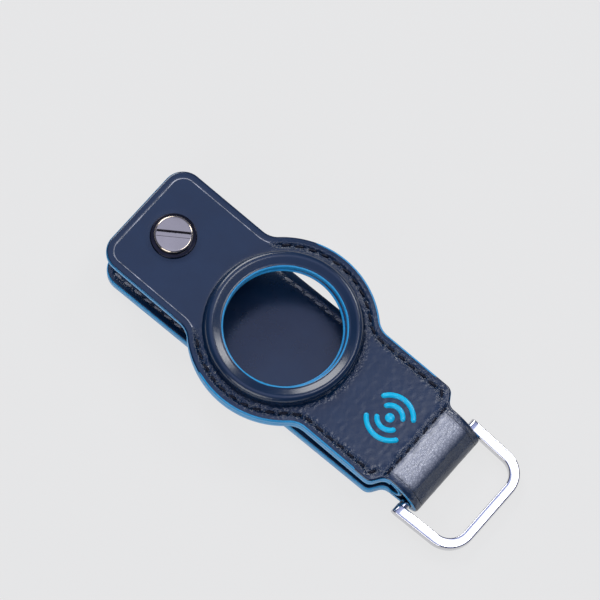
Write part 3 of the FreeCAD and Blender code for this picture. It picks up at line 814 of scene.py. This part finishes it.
def rim_profile(foot_relief):
    """Loops over the moulded rim, from its foot to the window's lip."""
    loops = []
    for radius, rise in rim_section():
        inward = np.clip((RIM_FOOT - radius) / (RIM_FOOT - WINDOW_WALL), 0, 1)
        loop = circle(radius, RIM_COUNT) + WINDOW_SHIFT * inward
        sag = foot_relief * (max(0.0, 1 - rise / 0.4) if radius > RIM_MIDDLE else 0.0)
        uneven = 0.03 * wander(loop[:, 0], loop[:, 1], 5.0, 3.0) * min(1.0, rise / 2.5)
        loops.append(with_height(loop, FLAP_TOP + rise + sag + uneven))
    return loops


def rim_underside():
    """Radius and height pairs from the lip down over the former to the leather's underside."""
    half = (LINING_RADIUS - WINDOW_WALL - LIP_WIDTH) / 2
    radius = (CORE_HEIGHT ** 2 + half ** 2) / (2 * CORE_HEIGHT)
    middle = (LINING_RADIUS - half, LINING_TOP + CORE_HEIGHT - radius)
    start = math.acos(-half / radius)
    former = [on_circle(middle, radius, angle) for angle in np.linspace(start, math.pi - start, 9)]
    return [
        (WINDOW_WALL, LINING_TOP), *former,
        (LINING_RADIUS, LINING_UNDER), (SEAT_RADIUS, LINING_UNDER), (SEAT_RADIUS, LEATHER_UNDER),
    ]


def make_flap_skin():
    shell = Shell()
    bands = top_bands(flap_path, FLAP_TOP, flap_relief)
    shell.loft([tilt(band) for band in bands])
    hole = circle(EYELET_HOLE, 40, SCREW_X)
    skirt_radii = RIM_FOOT + np.array((0.6, 0.45, 0.32, 0.2, 0.1, 0.0))
    skirt = [circle(radius, RIM_COUNT) for radius in skirt_radii]
    shell.fill(closed_at_neck(flap_path(DEEP)), [skirt[0], hole], 0.5, flap_height, tilt)
    shell.loft([on_flap(loop, flap_height(loop)) for loop in skirt], closed=True)
    loops = rim_profile(flap_height(skirt[-1]) - FLAP_TOP)
    loops += [with_height(circle(radius, RIM_COUNT), height) for radius, height in rim_underside()]
    shell.loft([tilt(loop) for loop in loops], closed=True)
    holes = [circle(SEAT_RADIUS, RIM_COUNT), hole]
    shell.fill(closed_at_neck(flap_path(EDGE_PAINT)), holes, 2.5, LEATHER_UNDER, tilt)
    rolled = rolled_edge(bands[0], flap_path, FLAP_TOP - ROLL_DROP, LEATHER_UNDER)
    shell.loft([tilt(loop) for loop in rolled])
    levels = (flap_height(hole), LEATHER_UNDER)
    shell.loft([on_flap(hole, level) for level in levels], closed=True)
    skin = shell.piece("flap_skin", LEATHER_OUT, "flap", "flap_leather", "navy_leather")
    mark_flap(skin)


def set_mark(obj, name, values):
    mark = obj.data.attributes.new(name, "FLOAT", "POINT")
    mark.data.foreach_set("value", np.asarray(values, np.float32))


def mesh_points(obj):
    flat = np.empty(len(obj.data.vertices) * 3)
    obj.data.vertices.foreach_get("co", flat)
    return flat.reshape(-1, 3) / MM


def mark_flap(skin):
    """Where the flap's leather is puckered by stitches, and where a highlight is painted along the
    pressed line and past the shoulder row.
    """
    points = tilt(mesh_points(skin), -REST_TILT)
    flat = points[:, :2]
    x, y = flat[:, 0], flat[:, 1]
    row = before_shoulder(half_path(STITCH_INSET, "flap"))
    sewn = mirrored(row[row[:, 0] > BY_RIM[0]])
    iron = half_path(PRESS_INSET, "flap")
    pressed = mirrored(iron[iron[:, 0] < -15.0])
    near_rim = 0.55 * ridge(np.hypot(x, y), RIM_FOOT + 0.8, 0.9) * fade(x, *BY_RIM)
    near_row = 0.9 * ridge(x, SHOULDER_ROW - 0.2, 0.9) * (1 - fade(np.abs(y), 10.3, 11.2))
    near_stitches = 0.8 * ridge(nearest(flat, sewn), 0, 0.9)
    upward = points[:, 2] > FLAP_TOP - 0.6
    set_mark(skin, "pucker", np.maximum.reduce([near_rim, near_row, near_stitches]) * upward)
    # Painted highlight along the pressed line, and on the neck past the shoulder row.
    crease_share = ridge(nearest(flat, pressed), 0, 0.08)
    neck_highlight = NECK_HIGHLIGHT_SHARE * fade(x, 38.0, 38.6) * (1 - fade(np.abs(y), *NECK_HIGHLIGHT_SIDES))
    set_mark(skin, "pressed", np.maximum(crease_share, neck_highlight) * upward)


# Painted edges
LIP_FROM, LIP_TO = (-14.0, -6.0), (31.0, 36.0)
TAB_END, TAB_LIP_TO = (-41.0, -38.0), (-20.0, -14.0)
LIP_SIDE = (6.0, 12.0)


def bead(shell, form, plain, lipped, weight, place):
    """A band round a cut edge, whose section of insets and heights turns from plain to lipped."""
    share = weight(edge_path(0.0, form))[:, None]
    loops = []
    for first, second in zip(plain, lipped):
        loop = with_height(edge_path(first[0], form), first[1]) * (1 - share)
        loop += with_height(edge_path(second[0], form), second[1]) * share
        loops.append(place(loop))
    shell.loft([*loops, loops[0]])


def edge_section(top, foot, lip, turn):
    """The rounded section of a painted edge; lip is how far it draws in at the top."""
    steps = np.linspace(0, RIGHT_ANGLE, 7)
    low = min(0.35, (top - foot) * 0.3)
    back = max(lip, EDGE_PAINT) + 0.06
    cosines, sines = np.cos(steps), np.sin(steps)
    upper = zip(lip - lip * sines, top - turn + turn * cosines)
    lower = zip(EDGE_PAINT - EDGE_PAINT * cosines, foot + low - low * sines)
    return [(back, top - 0.08), *upper, *lower, (back, foot + 0.02)]


def lip_on_flap(path):
    """Where the paint shows on top of the flap: bulge, square section and part of the tab."""
    x = path[:, 0]
    sewn = fade(x, *LIP_FROM) * (1 - fade(x, *LIP_TO))
    tab = np.maximum(lip_on_back(path), 1 - fade(x, *TAB_END))
    return sewn + TAB_LIP * (1 - fade(x, *TAB_LIP_TO)) * tab


def lip_on_back(path):
    """Where the paint shows on top of the back strap: along one side."""
    return fade(-path[:, 1], *LIP_SIDE)


def make_edges():
    shell = Shell()
    plain = edge_section(FLAP_TOP - ROLL_DROP + 0.04, LEATHER_UNDER, 0.12, 0.12)
    lipped = edge_section(FLAP_TOP - 0.02, LEATHER_UNDER, 0.4, 0.45)
    bead(shell, "flap", plain, lipped, lip_on_flap, tilt)
    lower = edge_section(LEATHER_UNDER, BACKING_UNDER, 0.14, 0.25)
    bead(shell, "backing", lower, lower, lip_on_flap, tilt)
    shell.piece("flap_edge_bead", EDGE_BLUE, "flap", "flap_edge_paint", "edge_paint", 60)
    shell = Shell()
    plain = edge_section(BACK_TOP - 0.3, 0.0, 0.12, 0.12)
    lipped = edge_section(BACK_TOP + 0.03, 0.0, BACK_LIP + 0.05, 1.1)
    bead(shell, "strap", plain, lipped, lip_on_back, np.asarray)
    shell.piece("back_edge_bead", EDGE_BLUE, "back", "back_edge_paint", "edge_paint", 60)


def make_backing():
    """The second leather under the bulge and the square section."""
    shell = Shell()
    turned = [(1.2, 0.0), (0.8, 0.03), (0.5, 0.12), (EDGE_PAINT, 0.22)]
    loops = [on_flap(edge_path(inset, "backing"), BACKING_UNDER + rise) for inset, rise in turned]
    shell.loft([*loops, on_flap(edge_path(EDGE_PAINT, "backing"), LEATHER_UNDER)])
    seat = [(0.35, 0.0), (0.1, 0.08), (0.0, 0.3)]
    wall = [(SEAT_RADIUS + out, BACKING_UNDER + rise) for out, rise in seat]
    shell.loft(turned_loops([*wall, (SEAT_RADIUS, LEATHER_UNDER)], SEAT_COUNT), closed=True)
    faces_at = ((turned[0][0], seat[0][0], BACKING_UNDER), (EDGE_PAINT, 0.0, LEATHER_UNDER))
    for inset, out, height in faces_at:
        outline = closed_at_neck(edge_path(inset, "backing"))
        shell.fill(outline, [circle(SEAT_RADIUS + out, SEAT_COUNT)], 2.0, height, tilt)
    shell.piece("flap_backing_skin", LEATHER_IN, "flap", "flap_backing", "navy_leather")


def make_window():
    shell = Shell()
    inner = LINING_EDGE + EDGE_PAINT
    lathe(shell, rounded_box(inner, LINING_RADIUS, LINING_UNDER, LINING_TOP, 0.08, 3), SEAT_COUNT)
    shell.piece("rim_lining_skin", LEATHER_IN, "flap", "rim_lining", "navy_leather")
    shell = Shell()
    top = FLAP_TOP + LIP_RISE - 0.12
    bands = (
        (rounded_box(LINING_EDGE, LINING_EDGE + 0.5, LINING_UNDER, LINING_TOP, 0.22), LINING_SHIFT),
        (rounded_box(WINDOW_EDGE, WINDOW_WALL + 0.2, LINING_TOP, top, 0.22), WINDOW_SHIFT),
    )
    for section, shift in bands:
        loops = [on_flap(circle(radius, SEAT_COUNT) + shift, height) for radius, height in section]
        shell.loft([*loops, loops[0]], closed=True)
    shell.piece("window_edge_bead", EDGE_BLUE, "flap", "window_edge_paint", "edge_paint", 60)


# Back strap
def make_back():
    shell = Shell()
    bands = top_bands(back_path, BACK_TOP, back_relief)
    shell.loft(bands)
    hole = circle(BARREL_HOLE, 48, SCREW_X)
    shell.fill(closed_at_neck(edge_path(DEEP, "strap")), [hole], 0.8, back_height)
    shell.fill(closed_at_neck(back_path(EDGE_PAINT)), [hole], 3.0, BOARD_TOP)
    shell.loft(rolled_edge(bands[0], back_path, BACK_TOP - ROLL_DROP / 2, BOARD_TOP))
    shell.loft([with_height(hole, level) for level in (back_height(hole), BOARD_TOP)], closed=True)
    skin = shell.piece("back_lining_skin", LEATHER_IN, "back", "back_lining", "navy_leather")
    to_row = nearest(mesh_points(skin)[:, :2], mirrored(BACK_ROW))
    set_mark(skin, "pucker", 0.45 * ridge(to_row, 0, 1.0))
    shell = Shell()
    turned = [(1.3, 0.0), (0.9, 0.02), (0.6, 0.08), (EDGE_PAINT, 0.2)]
    loops = [with_height(edge_path(inset, "strap"), rise) for inset, rise in turned]
    top_inset = EDGE_PAINT + 0.15
    shell.loft([*loops, with_height(edge_path(top_inset, "strap"), LEATHER)])
    for inset, height in ((turned[0][0], 0.0), (top_inset, LEATHER)):
        shell.fill(closed_at_neck(edge_path(inset, "strap")), [], 3.0, height)
    shell.piece("back_leather_skin", LEATHER_OUT, "back", "back_leather", "navy_leather")


# Fold round the bar
def arc_run(centre, radius, start, stop, step):
    """Points and outward directions along an arc in the XZ plane."""
    count = max(2, math.ceil(abs(stop - start) * radius / step) + 1)
    angles = np.linspace(start, stop, count)
    ways = np.column_stack([np.cos(angles), np.sin(angles)])
    return np.array(centre) + radius * ways, ways


def flap_end(height):
    """Where a level of the flap meets the fold, in the XZ plane."""
    return tilt(np.array([[FOLD_START, 0, height]]))[0][[0, 2]]


FLAP_UP = np.array((math.sin(REST_TILT), math.cos(REST_TILT)))


def fold_profile(step):
    """The outer line of the leather fold, from flap to back, with its outward directions."""
    bar = BAR[[0, 2]]
    top = flap_end(FLAP_TOP)
    offset = top - bar
    radius = (offset @ offset - WRAP_OUTER ** 2) / (2 * (offset @ FLAP_UP - WRAP_OUTER))
    centre = top - radius * FLAP_UP
    touch = math.atan2(bar[1] - centre[1], bar[0] - centre[0])
    arch, arch_ways = arc_run(centre, radius, RIGHT_ANGLE - REST_TILT, touch, step)
    wrap, wrap_ways = arc_run(bar, WRAP_OUTER, touch, -RIGHT_ANGLE, step)
    flat = np.column_stack([np.linspace(bar[0], FOLD_START, 16)[1:], np.zeros(15)])
    flat_ways = np.tile((0.0, -1.0), (len(flat), 1))
    return np.vstack([arch, wrap[1:], flat]), np.vstack([arch_ways, wrap_ways[1:], flat_ways])


def lining_profile(step):
    """The outer line of the inner fold."""
    start = flap_end(LEATHER_UNDER)
    radius = (start[1] - LEATHER) / (1 + math.cos(REST_TILT))
    centre = start - radius * FLAP_UP
    bend, ways = arc_run(centre, radius, RIGHT_ANGLE - REST_TILT, -RIGHT_ANGLE, step)
    return np.vstack([bend, [[FOLD_START, LEATHER]]]), np.vstack([ways, [[0.0, -1.0]]])


def bent_sheet(profile, ways, thickness, across, relief):
    """A profile in the XZ plane drawn out across Y, with relief on its outer side."""
    shell = Shell()
    outer, inner = [], []
    distance = run_along(profile)
    for point, way, reach in zip(profile, ways, distance):
        rise = relief(np.full(len(across), reach), across, distance[-1])
        for loops, lift in ((outer, rise), (inner, np.full(len(across), -thickness))):
            spots = point + lift[:, None] * way
            loops.append(np.column_stack([spots[:, 0], across, spots[:, 1]]))
    shell.loft(outer)
    shell.loft(inner)
    for side in (0, -1):
        shell.loft([[row[side] for row in loops] for loops in (outer, inner)])
        shell.loft([outer[side], inner[side]])
    return shell


FOLD_ARCH = 8.3


def fold_relief(distance, across, total):
    """Edge rounding, pressed lines, swelling and fine wrinkles of the neck."""
    inset = NECK_HALF - np.abs(across)
    crease_share = 1.3 * (1 - fade(distance, total - 12.0, total - 8.0))
    height = edge_round(inset) + crease(inset) * crease_share
    angle = np.minimum(distance / FOLD_ARCH, RIGHT_ANGLE)
    along = FOLD_START - PUFF_START + FOLD_ARCH * np.sin(angle)
    drop = FOLD_ARCH * (1 - np.cos(angle)) * fade(inset, 0.4, 1.6)
    height += (puff(along, inset) + drop) * np.cos(angle) * (1 - fade(distance, 2.6, 7.5))
    worn = fade(distance, 0.2, 1.2) * (1 - fade(distance, total - 9.0, total - 6.0))
    worn *= fade(inset, 0.5, 1.6)
    wide = wander(distance * 0.6, across, 1.6, 1.0)
    narrow = wander(distance * 1.6, across * 0.7, 0.9, 5.0)
    return height + worn * (0.03 * wide + 0.025 * narrow)


def plain_relief(distance, across, total):
    return np.zeros(len(across))


def fold_bead(shell, profile, ways, thickness, side):
    """The rounded painted edge of a bent sheet."""
    lip = 0.37
    stations = []
    for point, way in zip(profile, ways):
        ring = []
        for angle in np.linspace(0, math.pi, 11):
            turn = math.copysign(abs(math.cos(angle)) ** 0.7, math.cos(angle))
            depth = (1 - turn) * thickness / 2
            reach = NECK_HALF - lip + lip * abs(math.sin(angle)) ** 0.6
            place = point - way * (depth + 0.2 * (1 - depth / thickness))
            ring.append((place[0], side * reach, place[1]))
        stations.append(np.array(ring))
    shell.tube(stations)


def make_fold():
    profile, ways = fold_profile(0.16)
    edge = NECK_HALF - BAND_INSETS[:-1]
    columns = np.concatenate([-edge, neck_line(), edge[::-1]])
    shell = bent_sheet(profile, ways, LEATHER, columns, fold_relief)
    skin = shell.piece("fold_skin", LEATHER_FOLD, "fold", "fold_leather", "navy_leather")
    points = mesh_points(skin)
    across = np.abs(points[:, 1])
    set_mark(skin, "pucker", 0.5 * ridge(NECK_HALF - across, PRESS_INSET, 0.8))
    # Painted highlight on the top of the fold, where the light falls.
    neck_highlight = fade(points[:, 2], 7.7, 9.2) * (1 - fade(across, *NECK_HIGHLIGHT_SIDES))
    set_mark(skin, "pressed", NECK_HIGHLIGHT_SHARE * neck_highlight)
    lining, lining_ways = lining_profile(0.25)
    half = NECK_HALF - EDGE_PAINT
    columns = np.linspace(-half, half, 41)
    shell = bent_sheet(lining, lining_ways, FOLD_LINING, columns, plain_relief)
    shell.piece("fold_lining_skin", LEATHER_IN, "fold", "fold_lining", "navy_leather")
    shell = Shell()
    for side in (1, -1):
        fold_bead(shell, profile, ways, LEATHER, side)
        fold_bead(shell, lining, lining_ways, FOLD_LINING, side)
    shell.piece("fold_edge_bead", EDGE_BLUE, "fold", "fold_edge_paint", "edge_paint", 60)


# Stitches
THREAD_SIZE = 0.31
THREAD_FLATNESS = 0.8
THREAD_DIP = 0.42
THREAD_TAPER = 0.35


def thread_rings(place, heading, height):
    """One stitch: a short thread that arches out of its two holes, a little askew."""
    turn = heading + RANDOM.normal(0.14, 0.06)
    way = np.array((math.cos(turn), math.sin(turn)))
    side = np.array((-way[1], way[0]))
    middle = place + side * RANDOM.normal(0, 0.05)
    reach = STITCH_LENGTH / 2 * RANDOM.normal(1, 0.05)
    top = height + RANDOM.normal(0.05, 0.02)
    rings = []
    for share in np.linspace(-1, 1, 11):
        at = middle + way * share * reach
        lift = top - THREAD_DIP * abs(share) ** 3.2
        size = THREAD_SIZE * (1 - THREAD_TAPER * abs(share) ** 3)
        ring = circle(size, 10)
        rings.append(with_height(at + side * ring[:, :1], lift + THREAD_FLATNESS * ring[:, 1]))
    return rings


def make_threads():
    flap_level = FLAP_TOP - 0.14
    rows = (
        ("flap", "flap", FLAP_STITCHES, flap_level, THREAD, tilt),
        ("shoulder", "flap", SHOULDER_STITCHES, flap_level, THREAD, tilt),
        ("back", "back", BACK_STITCHES, BACK_TOP - 0.1, THREAD_GLINT, np.asarray),
    )
    for name, body, (places, headings), height, material, place in rows:
        shell = Shell()
        for spot, heading in zip(places, headings):
            shell.tube([place(ring) for ring in thread_rings(spot, heading, height)])
        shell.piece(name + "_threads", material, body, name + "_stitching", "thread", 60)


# Emblem: a dot between two pairs of arcs
EMBLEM_SINK = 0.12
DOT_SECTION = (
    (0.02, 0.5), (0.45, 0.47), (0.8, 0.36), (1.0, 0.2), (1.1, -0.05), (1.1, -0.15), (0.02, -0.15)
)


def stroke(shell, radius, start, stop):
    """A raised rounded line along an arc, with round ends."""
    half = EMBLEM_LINE / 2
    reach = half / radius
    tips = np.linspace(1.45, 0.2, 6)
    stations = [(start - reach * math.sin(angle), math.cos(angle)) for angle in tips]
    stations += [(angle, 1.0) for angle in np.linspace(start, stop, 40)]
    stations += [(stop + reach * math.sin(angle), math.cos(angle)) for angle in tips[::-1]]
    turns = np.linspace(0, math.pi, 11)
    rings = []
    for angle, size in stations:
        out = radius + half * size * np.cos(turns)
        rise = (EMBLEM_RISE + EMBLEM_SINK) * size * np.sin(turns) ** 0.75 - EMBLEM_SINK
        spots = np.array((EMBLEM_X, 0)) + out[:, None] * (math.cos(angle), math.sin(angle))
        rings.append(on_flap(spots, FLAP_TOP + rise))
    shell.tube(rings)


def make_emblem():
    shell = Shell()
    lathe(shell, [(radius, FLAP_TOP + rise) for radius, rise in DOT_SECTION], 48, EMBLEM_X)
    for radius in EMBLEM_RADII:
        for middle in (RIGHT_ANGLE, -RIGHT_ANGLE):
            stroke(shell, radius, middle - EMBLEM_SPREAD, middle + EMBLEM_SPREAD)
    shell.piece("emblem_strokes", EMBLEM_BLUE, "flap", "emblem", "emblem", 60)


# Screw and washer
HEAD_DOME = 0.03
SLOT_BEVEL = 0.12


def dome_height(points):
    """Height of the screw head's slightly domed top."""
    reach = (points[:, 0] - SCREW_X) ** 2 + points[:, 1] ** 2
    return HEAD_TOP - HEAD_DOME * reach / (HEAD_RADIUS - HEAD_CHAMFER) ** 2


def make_screw():
    shell = Shell()
    count = 96
    long_way = np.array((math.cos(SLOT_ANGLE), math.sin(SLOT_ANGLE)))
    cross_way = np.array((-long_way[1], long_way[0]))
    signs = ((1, 1), (-1, 1), (-1, -1), (1, -1))
    counts = (26, 5, 26, 5)

    def slot_outline(grow):
        """The slot's outline, drawn out by grow."""
        long_half = long_way * (SLOT_HALF_LENGTH + grow)
        cross_half = cross_way * (SLOT_HALF_WIDTH + grow)
        middle = np.array((SCREW_X, 0))
        ends = [middle + long_half * along + cross_half * over for along, over in signs]
        return np.vstack([line(ends[k], ends[(k + 1) % 4], counts[k]) for k in range(4)])

    rim = HEAD_RADIUS - HEAD_CHAMFER
    slot, slot_rim = slot_outline(0.0), slot_outline(SLOT_BEVEL)
    shell.fill(circle(rim, count, SCREW_X), [slot_rim], 0.4, dome_height, tilt)
    floor = HEAD_TOP - SLOT_DEPTH
    walls = ((slot_rim, dome_height(slot_rim)), (slot, HEAD_TOP - SLOT_BEVEL), (slot, floor))
    shell.loft([on_flap(loop, height) for loop, height in walls], closed=True)
    shell.fill(slot, [], 0.3, floor, tilt)
    edge_top = HEAD_TOP - HEAD_DOME
    section = [
        (rim + HEAD_CHAMFER * math.sin(angle), edge_top - HEAD_CHAMFER * (1 - math.cos(angle)))
        for angle in np.linspace(0, RIGHT_ANGLE, 7)
    ]
    section += [(HEAD_RADIUS, WASHER_TOP), (SCREW_NECK, WASHER_TOP), (SCREW_NECK, THREAD_TOP)]
    for height in np.linspace(THREAD_TOP, SCREW_TIP, 13)[:-1]:
        section += [(SCREW_NECK, height), (THREAD_RADIUS, height - 0.08)]
    section += [(SCREW_NECK, SCREW_TIP), (0.02, SCREW_TIP)]
    shell.loft(turned_loops(section, count, SCREW_X), closed=True)
    screw = shell.piece("screw_body", SCREW_METAL, "screw", "screw", "screw_metal", 35)
    points = tilt(mesh_points(screw), -REST_TILT)
    # Painted shade: one wall of the slot, and the slot floor's edge along it, are marked to turn
    # near black.
    over = (points[:, :2] - (SCREW_X, 0)) @ cross_way
    in_slot = (nearest(points[:, :2], slot) < 0.02) & (over > SLOT_HALF_WIDTH - 0.02)
    set_mark(screw, "painted_shade", in_slot & (points[:, 2] > floor - 0.02))
    shell = Shell()
    section = rounded_box(WASHER_BORE, WASHER_RADIUS, FLAP_TOP, WASHER_TOP, 0.2)
    lathe(shell, section, count, SCREW_X)
    shell.piece("washer_body", DARK_METAL, "screw_washer", "screw_washer", "dark_metal", 50)


# Ring
def ring_line(half, far, bend):
    """One side of the ring's inner or outer line, from a leg's end to the far side's middle."""
    start = BAR[0] - RING_HALF_THICKNESS
    slope = RING_TAPER / (BAR[0] + RING_LENGTH - start)
    corner = np.array((far, half - slope * (far - start)))
    turn = RIGHT_ANGLE - math.atan(slope)
    reach = bend * math.tan(turn / 2)
    way = np.array((1, -slope)) / math.hypot(1, slope)
    leg_end = corner - way * reach
    middle = corner - np.array((bend, reach))
    tip = start + RING_LEG_ROUND * (1 - np.cos(np.linspace(0, RIGHT_ANGLE, 8)))
    leg_x = np.concatenate([tip[:-1], np.linspace(tip[-1], leg_end[0], 8, endpoint=False)])
    leg = np.column_stack([leg_x, half - slope * (leg_x - start)])
    rounded = arc(middle, bend, turn, 0, 30)
    far_side = np.vstack([line((far, middle[1]), (far, 0), 8), [[far, 0.0]]])
    return np.vstack([leg, rounded, far_side])


def ring_section(inner, outer, half_height):
    """Points round the ring's band between matching inner and outer points."""
    width = np.linalg.norm(outer - inner)
    way = (outer - inner) / width
    turn = min(RING_EDGE, half_height * 0.8)
    steps = 6
    box = rounded_box(0.0, width, -half_height, half_height, turn, steps)
    section = np.roll(box, -steps, axis=0)
    return with_height(inner + way * section[:, :1], BAR[2] + section[:, 1])


def make_ring():
    far = BAR[0] + RING_LENGTH
    inner = ring_line(RING_INNER, far - RING_BAND, RING_CORNER - RING_BAND)
    outer = ring_line(RING_INNER + RING_BAND, far, RING_CORNER)
    start = BAR[0] - RING_HALF_THICKNESS
    stations = []
    for first, second in zip(inner, outer):
        past_end = RING_LEG_ROUND - min(first[0] - start, RING_LEG_ROUND)
        shy = RING_LEG_ROUND - math.sqrt(RING_LEG_ROUND ** 2 - past_end ** 2)
        stations.append(ring_section(first, second, RING_HALF_THICKNESS - shy))
    stations += [station * (1, -1, 1) for station in stations[-2::-1]]
    shift = np.array((0, RING_SHIFT, 0))
    shell = Shell()
    shell.tube([tilt(station, RING_TILT) + shift for station in stations])
    reach = RING_INNER + RING_BAND / 2
    bar = []
    for place in (-reach, reach):
        ring = circle(RING_BAR_RADIUS, 48)
        bar.append(np.column_stack([ring[:, 0], np.full(48, place), ring[:, 1]]) + BAR + shift)
    shell.tube(bar)
    shell.piece("ring_body", CHROME, "ring", "ring", "chrome", 40)


make_flap_skin()
make_edges()
make_backing()
make_window()
make_back()
make_fold()
make_threads()
make_emblem()
make_screw()
make_ring()

INNER_SOLIDS = {"back_board": BOARD, "rim_core": CORE, "screw_barrel": STEEL, "tab_eyelet": STEEL}
for node, material in INNER_SOLIDS.items():
    mesh = frame["nodes"][node].data
    mesh.materials.clear()
    mesh.materials.append(material)


# Floor, light and camera
FLOOR_GREY = 0.78
FLOOR_GLOW = 0.815
GLOW_SHARE = 0.9
FLOOR_REACH = 3.0
FLOOR_LEVEL = -0.05 * MM
ROOM_COLOUR = (0.62, 0.70, 1.14, 1)


def make_floor():
    """A pale floor that looks even to the camera and keeps a soft shadow."""
    mesh = bpy.data.meshes.new("floor")
    signs = ((-1, -1), (1, -1), (1, 1), (-1, 1))
    corners = [(x * FLOOR_REACH, y * FLOOR_REACH, FLOOR_LEVEL) for x, y in signs]
    mesh.from_pydata(corners, [], [(0, 1, 2, 3)])
    paper = Surface("floor")
    grey = paper.two_tone(paper.noise(300, 4.0), (FLOOR_GREY,) * 3, (FLOOR_GREY + 0.005,) * 3)
    mesh.materials.append(paper.dress(Base_Color=grey, Roughness=0.9, Specular_IOR_Level=0.1))
    seen = paper.node("LightPath", "Is Camera Ray", {})
    for other in ("Is Glossy Ray", "Is Transmission Ray"):
        seen = paper.combined("MAXIMUM", seen, paper.node("LightPath", other, {}))
    share = paper.combined("MULTIPLY", seen, GLOW_SHARE)
    glow = paper.node("Emission", "Emission", {"Strength": FLOOR_GLOW})
    blend = paper.node("MixShader", "Shader", {0: share, 1: paper.shader.outputs["BSDF"], 2: glow})
    paper.feed(paper.nodes["Material Output"].inputs, {"Surface": blend})
    floor = add_object("floor", mesh)


def make_world():
    """A dim pale room, darker towards the front."""
    world = bpy.data.worlds.new("studio")
    world.use_nodes = True
    room = Graph(world.node_tree)
    way = room.node("TexCoord", "Generated", {})
    up, away = (room.node("SeparateXYZ", axis, {"Vector": way}) for axis in "ZY")
    overhead = room.spread(up, 0.18, 1.0, 0.8, 1.0)
    strength = room.combined("MULTIPLY", overhead, room.spread(away, 0.6, 1.0, -0.9, 0.4))
    room.feed(room.nodes["Background"].inputs, {"Strength": strength, "Color": ROOM_COLOUR})
    bpy.context.scene.world = world


def soft_box(name, way, distance, width, depth, brightness):
    """A soft box that faces the part, width along X; brightness is what a mirror shows of it."""
    light = bpy.data.lights.new(name, "AREA")
    light.shape = "RECTANGLE"
    light.size = width
    light.size_y = depth
    light.energy = brightness * math.pi * width * depth
    obj = add_object(name, light)
    way = Vector(way).normalized()
    across = (Vector((1, 0, 0)) - way * way.x).normalized()
    obj.location = way * distance
    obj.rotation_euler = Matrix((across, way.cross(across), way)).transposed().to_euler()


def make_light():
    soft_box("ring_box", (0.077, 0.112, 0.43), 0.45, 0.082, 0.16, 1.8)
    soft_box("neck_box", (0.1215, 0.1125, 0.4375), 0.47, 0.056, 0.16, 4.8)
    soft_box("back_box", (0.125, 0.75, 0.65), 1.0, 0.24, 0.26, 8.0)
    soft_box("tab_box", (-0.66, 0.40, 0.64), 1.0, 0.36, 0.50, 6.0)
    soft_box("front_box", (0.15, -0.85, 0.5), 1.0, 0.6, 0.6, 2.6)


PHOTO_SIZE = 600
PIXELS_PER_MM = 4.63
WINDOW_PIXEL = np.array((284.15, 326.12))
WINDOW_RISE = 1.95
AZIMUTH = math.radians(40.6)
ELEVATION = math.radians(70.5)
CAMERA_DISTANCE = 900.0
SENSOR = 36.0


def make_camera():
    """A long lens at the photograph's angle, placed by the window's middle."""
    right = np.array((math.cos(AZIMUTH), math.sin(AZIMUTH), 0))
    flat = np.array((math.sin(AZIMUTH), -math.cos(AZIMUTH), 0))
    back = flat * math.cos(ELEVATION) + np.array((0, 0, math.sin(ELEVATION)))
    window = tilt(np.array([[0, 0, FLAP_TOP + WINDOW_RISE]]))[0]
    shift = (PHOTO_SIZE / 2 - WINDOW_PIXEL) / PIXELS_PER_MM
    aim = window + right * shift[0] - np.cross(back, right) * shift[1]
    camera = bpy.data.cameras.new("camera")
    camera.sensor_width = SENSOR
    camera.lens = SENSOR * CAMERA_DISTANCE / (PHOTO_SIZE / PIXELS_PER_MM)
    camera.clip_start = 0.01
    obj = add_object("camera", camera)
    obj.location = Vector((aim + back * CAMERA_DISTANCE) * MM)
    obj.rotation_euler = Vector(-back).to_track_quat("-Z", "Y").to_euler()
    bpy.context.scene.camera = obj


make_floor()
make_world()
make_light()
make_camera()
bpy.context.scene.view_settings.view_transform = "Standard"
